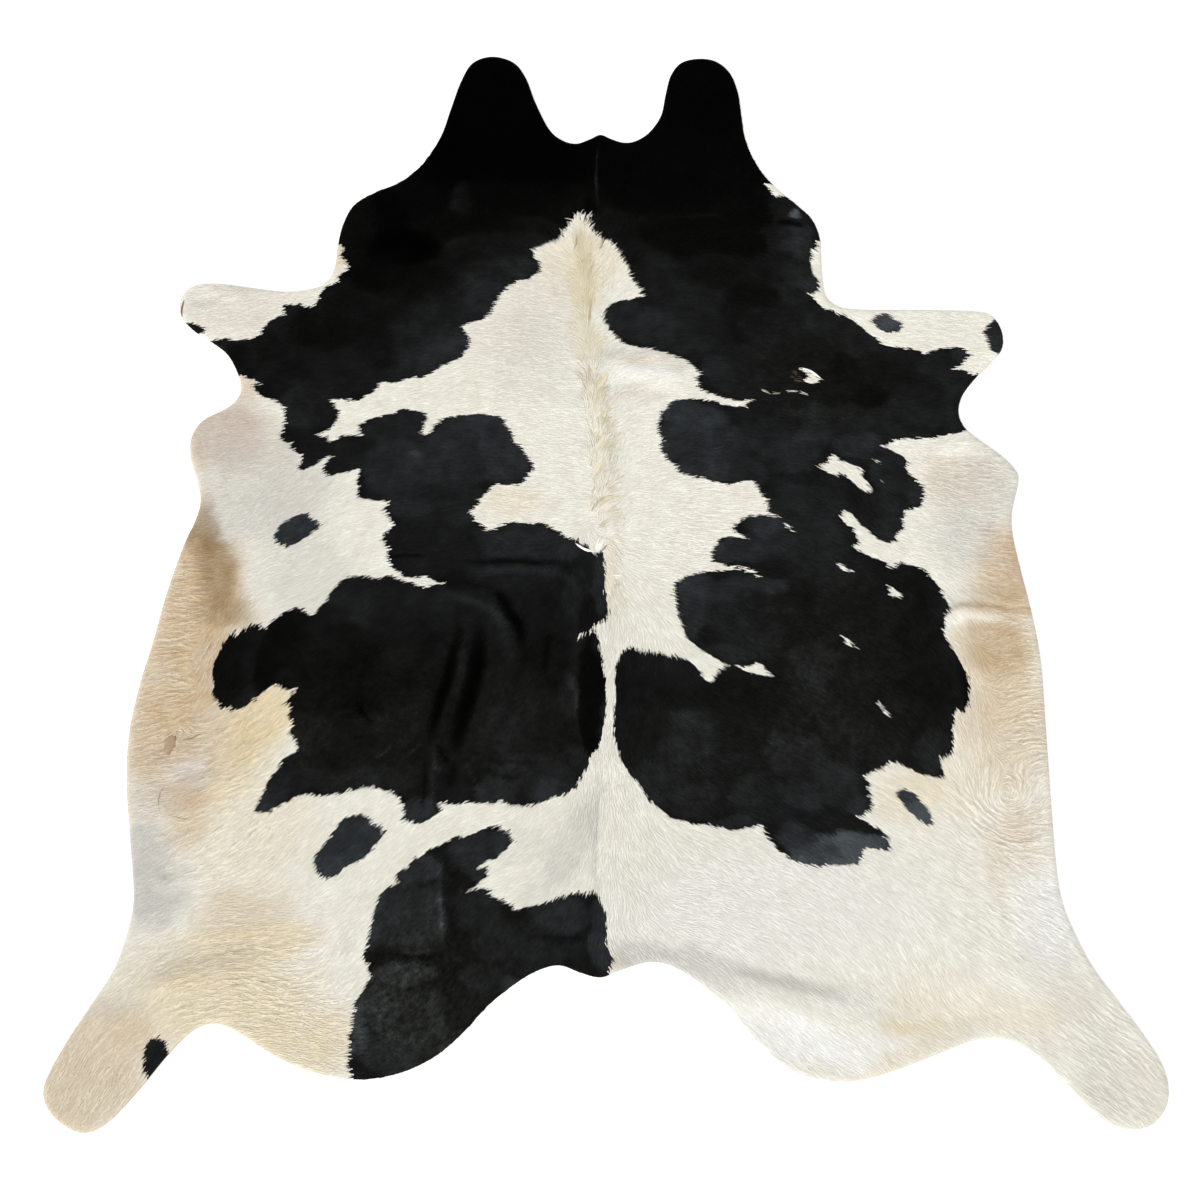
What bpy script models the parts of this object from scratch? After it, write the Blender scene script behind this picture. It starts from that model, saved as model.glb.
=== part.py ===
"""Cowhide rug: one flat hide with its short hair, laid out on the floor.

The model is in metres with +Z up. The head end points along +Y, the animal's
left side lies at -X and the spine runs along Y close to x = 0. The underside
rests on z = 0 and lifts off it only inside the soft folds.
"""

import math

import bmesh
import bpy
import numpy as np
from mathutils import Vector
from mathutils.geometry import delaunay_2d_cdt

MM = 0.001

# Thickness of the tanned skin and of the skin with its flat lying hair.
SKIN = 2.6 * MM
COAT = 6.0 * MM
# A low ridge of longer hair stands along the spine, and fades at its ends.
SPINE_EXTRA = 2.0 * MM
SPINE_HALF_WIDTH = 34.0 * MM
RIDGE_SPAN = (-450.0 * MM, 740.0 * MM)
RIDGE_END = 110.0 * MM
RIDGE_SPACING = 85.0 * MM
# At the cut edge the hair slopes down to the skin over this distance.
SHOULDER = 3.5 * MM
SLOPE = 11.0 * MM
SHOULDER_HEIGHT = 4.9 * MM

# Longest straight step along the edge, and the most it may turn in one step.
LONGEST_STEP = 48.0 * MM
MOST_TURN = math.radians(13.0)
# Spacing of the points inside the hide, and how close two may come.
FIELD_SPACING = 190.0 * MM
FOLD_SPACING = 34.0 * MM
CLOSEST = 9.0 * MM
EDGE_CLEAR = 12.0 * MM

# The cut edge in millimetres from the spine line, named by the part of the
# hide, going round by the left side. Each point is where the edge changes its
# bend, and a smooth curve runs through them all.
EDGE = (
    ("nape", ((0, 948), (-24, 936), (-55, 924), (-88, 934), (-118, 965))),
    ("left cheek", ((-150, 1038), (-172, 1103), (-202, 1148), (-252, 1165),
                    (-297, 1147), (-322, 1096), (-343, 1020), (-363, 945))),
    ("left neck", ((-400, 872), (-448, 823), (-505, 794), (-550, 761),
                   (-572, 710), (-580, 655), (-583, 605), (-598, 565))),
    ("left foreleg", ((-630, 547), (-690, 540), (-760, 549), (-840, 560),
                      (-890, 554), (-913, 525), (-911, 484), (-880, 446),
                      (-835, 415), (-800, 386), (-775, 343), (-763, 303))),
    ("left flank", ((-774, 274), (-800, 252), (-838, 230), (-858, 192),
                    (-855, 145), (-835, 88), (-825, 45), (-833, 0),
                    (-850, -50), (-874, -150), (-890, -250), (-909, -350),
                    (-918, -450), (-910, -550), (-892, -650), (-875, -745))),
    ("left hind leg", ((-876, -800), (-895, -880), (-933, -950),
                       (-975, -1025), (-998, -1085), (-985, -1124),
                       (-950, -1152), (-912, -1162), (-873, -1142),
                       (-825, -1088), (-780, -1030), (-740, -990),
                       (-698, -978))),
    ("left rump", ((-655, -994), (-600, -1026), (-545, -1052), (-485, -1068),
                   (-425, -1073), (-360, -1062), (-300, -1035), (-250, -994),
                   (-205, -946), (-150, -904))),
    ("tail", ((-110, -883), (-74, -876), (-36, -889), (1, -897), (38, -884),
              (90, -870), (137, -879))),
    ("right rump", ((185, -910), (232, -953), (290, -1017), (345, -1058),
                    (425, -1077), (500, -1067), (600, -1034), (665, -1010),
                    (712, -1003))),
    ("right hind leg", ((755, -1012), (797, -1043), (850, -1099),
                        (900, -1143), (947, -1157), (990, -1143),
                        (1016, -1105), (1014, -1055), (985, -998),
                        (945, -938), (905, -876), (876, -806))),
    ("right flank", ((863, -755), (860, -690), (863, -580), (868, -450),
                     (873, -300), (866, -200), (852, -100), (844, -30),
                     (846, 15), (855, 50), (868, 95), (862, 120))),
    ("right foreleg", ((835, 152), (790, 189), (765, 217), (757, 250),
                       (768, 288), (800, 330), (835, 365), (863, 400),
                       (867, 440), (853, 475), (825, 490), (750, 494),
                       (650, 495), (560, 496))),
    ("right neck", ((515, 504), (492, 528), (486, 570), (486, 630),
                    (486, 675), (472, 722), (440, 760), (400, 799))),
    ("right cheek", ((365, 846), (341, 898), (328, 950), (322, 1020),
                     (317, 1068), (300, 1120), (268, 1152), (228, 1159),
                     (188, 1147), (163, 1110), (150, 1055), (139, 1000),
                     (112, 955), (80, 931), (52, 927), (24, 937))),
)

# The soft folds: name, height and half width in millimetres, lean of the
# crest to the left of its path as a share of the half width, and the path.
FOLDS = (
    ("loin pleat", 13, 26, 0.15,
     ((-262, -205), (-273, -270), (-275, -330), (-290, -385), (-312, -430),
      (-324, -475))),
    ("loin arch", 12, 32, 0.30,
     ((-305, -158), (-250, -160), (-212, -180), (-190, -218), (-178, -264),
      (-178, -310), (-195, -375), (-222, -435), (-242, -495))),
    ("side pleat", 6, 26, 0.00,
     ((-316, -250), (-322, -330), (-344, -400), (-366, -470), (-366, -545))),
    ("short pleat", 6, 16, 0.00,
     ((-318, -452), (-308, -500), (-318, -565))),
    ("belly crease", 6, 26, 0.20,
     ((-490, -388), (-440, -406), (-395, -438))),
    ("loin wave", 5, 32, -0.20,
     ((-340, -56), (-250, -56), (-150, -60), (-66, -76))),
    ("rump crease", 9, 36, 0.35,
     ((-322, -630), (-308, -690), (-302, -745), (-297, -805), (-288, -870))),
    ("tail wave", 7, 46, -0.25,
     ((-10, -560), (-34, -640), (-78, -720), (-104, -790))),
    ("rump roll", 14, 52, 0.30,
     ((130, -868), (165, -884), (232, -912), (337, -940), (430, -962),
      (530, -978))),
    ("back fold", 5, 34, 0.00,
     ((-470, 36), (-400, 40), (-330, 32), (-262, 18))),
    ("shoulder wave", 6, 42, 0.20,
     ((8, 338), (80, 334), (150, 322), (215, 300))),
    ("neck crease", 6, 22, -0.30,
     ((372, 716), (410, 716), (452, 704))),
    ("right flank crease", 6, 24, 0.20,
     ((700, -196), (760, -200), (830, -200))),
    ("left flank crease", 6, 24, 0.20,
     ((-850, -730), (-800, -728), (-755, -702))),
    ("left hock wave", 7, 36, 0.00,
     ((-880, -925), (-800, -905), (-700, -872), (-620, -852))),
    ("right elbow wave", 5, 28, 0.00,
     ((690, 160), (760, 172), (812, 158))),
    ("left wrist wave", 5, 26, 0.00,
     ((-880, 528), (-820, 532), (-750, 528))),
)
# A fold rises from nothing over this share of its length at each end.
FOLD_END = 0.34
# Points across a fold, as shares of its half width; 0 stands for its crest.
FOLD_RINGS = (-1.0, -0.5, 0.0, 0.5, 1.0)

COAT_COLOUR = (0.72, 0.67, 0.56, 1.0)
COAT_ROUGHNESS = 0.72


def curve_point(before, start, end, after, t):
    """Point at t on the smooth curve from start to end (Catmull-Rom)."""
    return 0.5 * (
        2 * start
        + (end - before) * t
        + (2 * before - 5 * start + 4 * end - after) * t * t
        + (3 * start - before - 3 * end + after) * t ** 3
    )


def edge_curve():
    """The cut edge as points round the hide, closer where it bends more."""
    knots = np.array([p for _, points in EDGE for p in points], float) * MM
    count = len(knots)
    found = []
    for i in range(count):
        before, start, end, after = (knots[(i + k) % count] for k in (-1, 0, 1, 2))
        way_in, way_out = end - before, after - start
        cosine = way_in @ way_out / np.linalg.norm(way_in) / np.linalg.norm(way_out)
        turn = math.acos(max(-1.0, min(1.0, cosine)))
        length = np.linalg.norm(end - start)
        steps = max(math.ceil(turn / MOST_TURN), math.ceil(length / LONGEST_STEP))
        found += [curve_point(before, start, end, after, k / steps) for k in range(steps)]
    return np.array(found)


def inward(ring):
    """Unit vectors into the hide at each point of an anticlockwise ring."""
    along = np.roll(ring, -1, 0) - np.roll(ring, 1, 0)
    along /= np.linalg.norm(along, axis=1)[:, None]
    return np.stack([-along[:, 1], along[:, 0]], 1)


def path_points(path, spacing):
    """A fold's path as evenly spaced points, their share of its length, and normals."""
    knots = np.array(path, float) * MM
    knots = np.vstack([2 * knots[0] - knots[1], knots, 2 * knots[-1] - knots[-2]])
    fine = [
        curve_point(*knots[i:i + 4], t)
        for i in range(len(knots) - 3)
        for t in np.linspace(0, 1, 12, endpoint=False)
    ]
    fine = np.array(fine + [knots[-2]])
    steps = np.linalg.norm(np.diff(fine, axis=0), axis=1)
    distance = np.concatenate([[0.0], np.cumsum(steps)])
    share = np.linspace(0, 1, max(3, round(distance[-1] / spacing) + 1))
    points = np.stack(
        [np.interp(share * distance[-1], distance, fine[:, k]) for k in (0, 1)], 1
    )
    along = np.gradient(points, axis=0)
    along /= np.linalg.norm(along, axis=1)[:, None]
    return points, share, np.stack([-along[:, 1], along[:, 0]], 1)


class Fold:
    """One soft fold, with the height that it lifts the hide by."""

    def __init__(self, height, half_width, lean, path):
        self.height = height * MM
        self.half_width = half_width * MM
        self.crest = lean * self.half_width
        self.path = path
        self.points, self.share, self.across = path_points(path, FOLD_SPACING / 3)

    def rise(self, place):
        """Lift at a place: a rounded bump across, fading out at both ends."""
        offset = place - self.points
        distances = np.linalg.norm(offset, axis=1)
        nearest = int(np.argmin(distances))
        distance = float(distances[nearest])
        if distance >= self.half_width:
            return 0.0
        aside = math.copysign(distance, float(offset[nearest] @ self.across[nearest]))
        beyond = aside - self.crest
        reach = self.half_width + math.copysign(1.0, -beyond) * self.crest
        end = min(self.share[nearest], 1 - self.share[nearest]) / FOLD_END
        fade = 0.5 - 0.5 * math.cos(math.pi * min(1.0, end))
        bump = 0.5 + 0.5 * math.cos(math.pi * min(1.0, abs(beyond) / reach))
        return self.height * fade * bump


def fold_lift(folds, x, y):
    """Height of the underside over the floor at a point of the hide."""
    return max(fold.rise(np.array([x, y])) for fold in folds)


def coat_height(x, y):
    """Thickness of skin and hair at a point well inside the edge."""
    low, high = RIDGE_SPAN
    across = max(0.0, 1.0 - abs(x) / SPINE_HALF_WIDTH)
    along = min(y - low, high - y) / RIDGE_END
    ridge = across * max(0.0, min(1.0, along))
    return COAT + SPINE_EXTRA * ridge


def inner_points(ring, folds):
    """Points inside the hide: close together on the folds, sparse elsewhere."""
    polygon = [tuple(p) for p in ring]
    wanted = []
    for fold in folds:
        points, _, across = path_points(fold.path, FOLD_SPACING)
        for side in FOLD_RINGS:
            shift = side * fold.half_width if side else fold.crest
            wanted += list(points + across * shift)
    low, high = ring.min(0), ring.max(0)
    for y in np.arange(low[1] + FIELD_SPACING / 2, high[1], FIELD_SPACING):
        for x in np.arange(low[0] + FIELD_SPACING / 2, high[0], FIELD_SPACING):
            wanted.append(np.array([x, y]))
    for y in np.arange(*RIDGE_SPAN, RIDGE_SPACING):
        for x in (-SPINE_HALF_WIDTH, 0.0, SPINE_HALF_WIDTH):
            wanted.append(np.array([x, y]))
    kept = np.empty((0, 2))
    for point in wanted:
        if len(kept) and ((kept - point) ** 2).sum(1).min() < CLOSEST ** 2:
            continue
        if ((ring - point) ** 2).sum(1).min() < EDGE_CLEAR ** 2:
            continue
        if inside(point, polygon):
            kept = np.vstack([kept, point])
    return kept


def inside(point, polygon):
    """True if the point lies within the polygon."""
    x, y = point
    within = False
    for (ax, ay), (bx, by) in zip(polygon, polygon[1:] + polygon[:1]):
        if (ay > y) != (by > y) and x < ax + (y - ay) / (by - ay) * (bx - ax):
            within = not within
    return within


def triangulate(ring, points):
    """Triangles over the ring's inside, as indices into ring then points."""
    flat = [Vector(p) for p in np.vstack([ring, points])]
    rim = list(range(len(ring)))
    result = delaunay_2d_cdt(flat, [], [rim], 1, 1e-7)
    origin = [ids[0] for ids in result[3]]
    return [tuple(origin[k] for k in face) for face in result[2]]


def add_ring(mesh, folds, ring, height):
    """Vertices of one closed ring, each at its own fold's lift plus height."""
    return [mesh.verts.new((x, y, fold_lift(folds, x, y) + height)) for x, y in ring]


def bridge(mesh, lower, upper):
    """A band of quads between two rings that face outwards."""
    count = len(lower)
    for i in range(count):
        j = (i + 1) % count
        mesh.faces.new((lower[i], lower[j], upper[j], upper[i]))


def build_hide():
    """The whole rug as one closed mesh."""
    edge = edge_curve()
    centre = (edge.min(0) + edge.max(0)) / 2
    into = inward(edge)
    shoulder = edge + into * SHOULDER
    plateau = edge + into * SLOPE

    folds = [Fold(*sizes) for _, *sizes in FOLDS]
    mesh = bmesh.new()
    floor_ring = add_ring(mesh, folds, edge, 0.0)
    skin_ring = add_ring(mesh, folds, edge, SKIN)
    shoulder_ring = add_ring(mesh, folds, shoulder, SHOULDER_HEIGHT)
    plateau_ring = add_ring(mesh, folds, plateau, COAT)
    bridge(mesh, floor_ring, skin_ring)
    bridge(mesh, skin_ring, shoulder_ring)
    bridge(mesh, shoulder_ring, plateau_ring)

    points = inner_points(plateau, folds)
    top, underside = [], []
    for x, y in points:
        lift = fold_lift(folds, x, y)
        top.append(mesh.verts.new((x, y, lift + coat_height(x, y))))
        underside.append(mesh.verts.new((x, y, lift)))
    for face in triangulate(plateau, points):
        mesh.faces.new([(plateau_ring + top)[k] for k in face])
    for face in triangulate(edge, points):
        mesh.faces.new([(floor_ring + underside)[k] for k in reversed(face)])

    bmesh.ops.translate(mesh, verts=mesh.verts, vec=(-centre[0], -centre[1], 0.0))
    bmesh.ops.triangulate(mesh, faces=[f for f in mesh.faces if len(f.verts) > 3])
    bmesh.ops.recalc_face_normals(mesh, faces=mesh.faces)
    data = bpy.data.meshes.new("hide")
    mesh.to_mesh(data)
    mesh.free()
    return data


def coat_material():
    """Pale short hair, matt."""
    material = bpy.data.materials.new("short hair coat")
    material.use_nodes = True
    shader = material.node_tree.nodes["Principled BSDF"]
    shader.inputs["Base Color"].default_value = COAT_COLOUR
    shader.inputs["Roughness"].default_value = COAT_ROUGHNESS
    shader.inputs["Metallic"].default_value = 0.0
    return material


def main():
    """Clears the scene and lays the hide on the floor."""
    for item in list(bpy.data.objects):
        bpy.data.objects.remove(item, do_unlink=True)
    hide = bpy.data.objects.new("hide", build_hide())
    hide.data.materials.append(coat_material())
    hide.data.shade_smooth()
    hide.data.set_sharp_from_angle(angle=math.radians(35.0))
    bpy.context.scene.collection.objects.link(hide)


main()
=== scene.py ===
"""Looks of the cowhide rug: short lying hair over a tanned skin, in a plain studio.

Places and sizes are millimetres from the spine line, unless a name says metres:
x grows towards the animal's right side, y towards its head and z up. Meshes are
made in metres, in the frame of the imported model.
"""

import logging
import math
from collections.abc import Callable, Sequence
from dataclasses import dataclass, field
from enum import Enum
from functools import partial

import bpy
import numpy as np
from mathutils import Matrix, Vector
from mathutils.geometry import delaunay_2d_cdt


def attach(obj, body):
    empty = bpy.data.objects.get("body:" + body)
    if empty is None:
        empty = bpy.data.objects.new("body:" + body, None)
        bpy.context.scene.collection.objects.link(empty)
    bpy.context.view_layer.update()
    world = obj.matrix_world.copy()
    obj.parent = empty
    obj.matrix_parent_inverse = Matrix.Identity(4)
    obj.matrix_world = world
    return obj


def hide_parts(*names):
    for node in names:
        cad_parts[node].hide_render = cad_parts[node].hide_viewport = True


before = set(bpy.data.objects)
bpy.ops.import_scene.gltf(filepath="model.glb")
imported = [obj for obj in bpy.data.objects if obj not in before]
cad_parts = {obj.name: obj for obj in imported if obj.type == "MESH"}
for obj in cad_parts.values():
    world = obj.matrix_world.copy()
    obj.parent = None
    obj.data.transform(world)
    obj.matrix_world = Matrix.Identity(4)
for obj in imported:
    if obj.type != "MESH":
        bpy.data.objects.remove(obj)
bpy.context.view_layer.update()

LOG = logging.getLogger("rug")
MM = 0.001
Point = tuple[float, float]
Array = np.ndarray
# What the mask "black" is on hair that is black or pale all along, and the tone of
# hair that is plain black.
ALL_BLACK = 30.0
ALL_PALE = -30.0
PLAIN_TONE = 10.0

# The cut edge, named by the part of the hide, going round by the left side.
EDGE: tuple[tuple[str, tuple[Point, ...]], ...] = (
    ("nape", ((0, 948), (-24, 936), (-55, 924), (-88, 934), (-118, 965))),
    ("left cheek", (
        (-150, 1038), (-172, 1103), (-202, 1148), (-252, 1165), (-297, 1147), (-322, 1096), (-343, 1020),
        (-363, 945))),
    ("left neck", (
        (-400, 872), (-448, 823), (-505, 794), (-550, 761), (-572, 710), (-580, 655), (-583, 605),
        (-598, 565))),
    ("left foreleg", (
        (-630, 547), (-690, 540), (-760, 549), (-840, 560), (-890, 554), (-913, 525), (-911, 484),
        (-880, 446), (-835, 415), (-800, 386), (-775, 343), (-763, 303))),
    ("left flank", (
        (-774, 274), (-800, 252), (-838, 230), (-858, 192), (-855, 145), (-835, 88), (-825, 45),
        (-833, 0), (-850, -50), (-874, -150), (-890, -250), (-909, -350), (-918, -450), (-910, -550),
        (-892, -650), (-875, -745))),
    ("left hind leg", (
        (-876, -800), (-895, -880), (-933, -950), (-975, -1025), (-998, -1085), (-985, -1124),
        (-950, -1152), (-912, -1162), (-873, -1142), (-825, -1088), (-780, -1030), (-740, -990),
        (-698, -978))),
    ("left rump", (
        (-655, -994), (-600, -1026), (-545, -1052), (-485, -1068), (-425, -1073), (-360, -1062),
        (-300, -1035), (-250, -994), (-205, -946), (-150, -904))),
    ("tail", ((-110, -883), (-74, -876), (-36, -889), (1, -897), (38, -884), (90, -870), (137, -879))),
    ("right rump", (
        (185, -910), (232, -953), (290, -1017), (345, -1058), (425, -1077), (500, -1067), (600, -1034),
        (665, -1010), (712, -1003))),
    ("right hind leg", (
        (755, -1012), (797, -1043), (850, -1099), (900, -1143), (947, -1157), (990, -1143), (1016, -1105),
        (1014, -1055), (985, -998), (945, -938), (905, -876), (876, -806))),
    ("right flank", (
        (863, -755), (860, -690), (863, -580), (868, -450), (873, -300), (866, -200), (852, -100),
        (844, -30), (846, 15), (855, 50), (868, 95), (862, 120))),
    ("right foreleg", (
        (835, 152), (790, 189), (765, 217), (757, 250), (768, 288), (800, 330), (835, 365), (863, 400),
        (867, 440), (853, 475), (825, 490), (750, 494), (650, 495), (560, 496))),
    ("right neck", (
        (515, 504), (492, 528), (486, 570), (486, 630), (486, 675), (472, 722), (440, 760), (400, 799))),
    ("right cheek", (
        (365, 846), (341, 898), (328, 950), (322, 1020), (317, 1068), (300, 1120), (268, 1152),
        (228, 1159), (188, 1147), (163, 1110), (150, 1055), (139, 1000), (112, 955), (80, 931), (52, 927),
        (24, 937))),
)

# Folds of skin and hair: name, height, half width, lean of the crest to the left
# of its path as a share of the half width, and the path. The first are the solid's
# own. The creases after them only stir the hair, and a trough has a height below 0.
FOLDS: tuple[tuple[str, float, float, float, tuple[Point, ...]], ...] = (
    ("loin pleat", 13, 26, 0.15,
     ((-262, -205), (-273, -270), (-275, -330), (-290, -385), (-312, -430), (-324, -475))),
    ("loin arch", 12, 32, 0.3,
     ((-305, -158), (-250, -160), (-212, -180), (-190, -218), (-178, -264), (-178, -310), (-195, -375),
      (-222, -435), (-242, -495))),
    ("side pleat", 6, 26, 0, ((-316, -250), (-322, -330), (-344, -400), (-366, -470), (-366, -545))),
    ("short pleat", 6, 16, 0, ((-318, -452), (-308, -500), (-318, -565))),
    ("belly crease", 6, 26, 0.2, ((-490, -388), (-440, -406), (-395, -438))),
    ("loin wave", 5, 32, -0.2, ((-340, -56), (-250, -56), (-150, -60), (-66, -76))),
    ("rump crease", 9, 36, 0.35, ((-322, -630), (-308, -690), (-302, -745), (-297, -805), (-288, -870))),
    ("tail wave", 7, 46, -0.25, ((-10, -560), (-34, -640), (-78, -720), (-104, -790))),
    ("rump roll", 14, 52, 0.3,
     ((130, -868), (165, -884), (232, -912), (337, -940), (430, -962), (530, -978))),
    ("back fold", 5, 34, 0, ((-470, 36), (-400, 40), (-330, 32), (-262, 18))),
    ("shoulder wave", 6, 42, 0.2, ((8, 338), (80, 334), (150, 322), (215, 300))),
    ("neck crease", 6, 22, -0.3, ((372, 716), (410, 716), (452, 704))),
    ("right flank crease", 6, 24, 0.2, ((700, -196), (760, -200), (830, -200))),
    ("left flank crease", 6, 24, 0.2, ((-850, -730), (-800, -728), (-755, -702))),
    ("left hock wave", 7, 36, 0, ((-880, -925), (-800, -905), (-700, -872), (-620, -852))),
    ("right elbow wave", 5, 28, 0, ((690, 160), (760, 172), (812, 158))),
    ("left wrist wave", 5, 26, 0, ((-880, 528), (-820, 532), (-750, 528))),
)
CREASES: tuple[tuple[str, float, float, float, tuple[Point, ...]], ...] = (
    ("nape line", -1.4, 9, 0, ((-6, 930), (-6, 840), (-8, 750))),
    ("rump line", -2.2, 6, 0, ((0, -540), (-4, -640), (-5, -745))),
    ("tail trough", -2, 26, 0, ((-28, -575), (-66, -660), (-108, -750))),
    ("upper flank wrinkle", 1.2, 9, 0, ((-884, -752), (-830, -750), (-768, -734))),
    ("middle flank wrinkle", -1.2, 8, 0, ((-880, -738), (-820, -741), (-764, -722))),
    ("lower flank wrinkle", -1.1, 8, 0, ((-872, -786), (-822, -792), (-780, -780))),
    ("right flank line", -1.6, 11, 0, ((700, -172), (770, -178), (856, -186))),
    ("right flank edge", 1.5, 9, 0, ((706, -216), (770, -218), (850, -216))),
    ("elbow line", -1.2, 9, 0, ((676, 140), (740, 150), (822, 140))),
    ("wrist line", -1.5, 9, 0, ((-858, 505), (-800, 516), (-700, 525))),
    ("wrist second line", -1, 8, 0, ((-820, 474), (-760, 482), (-690, 468))),
    ("whorl wrinkle", 1.2, 9, 0, ((745, -612), (790, -628), (846, -604))),
    ("whorl second wrinkle", 1.1, 9, 0, ((750, -640), (796, -655), (850, -636))),
    ("teat ring", 1.2, 7, 0, ((-846, -548), (-842, -580), (-812, -596), (-792, -582))),
    ("hock trough", -1.6, 30, 0, ((-940, -940), (-870, -936), (-790, -926))),
    ("flank wrinkle", -1.7, 8, 0, ((-886, -753), (-845, -751), (-790, -744))),
    ("thigh trough", -1.6, 30, 0, ((-800, -880), (-720, -866), (-650, -856))),
    ("dark pleat edge", -2.2, 14, 0, ((-338, -500), (-340, -550), (-342, -600))),
    ("right thigh seam", 0.9, 8, 0, ((748, -700), (742, -760), (744, -820))),
)
# Share of a fold's length over which it rises from either end.
FOLD_END = 0.34

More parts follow.
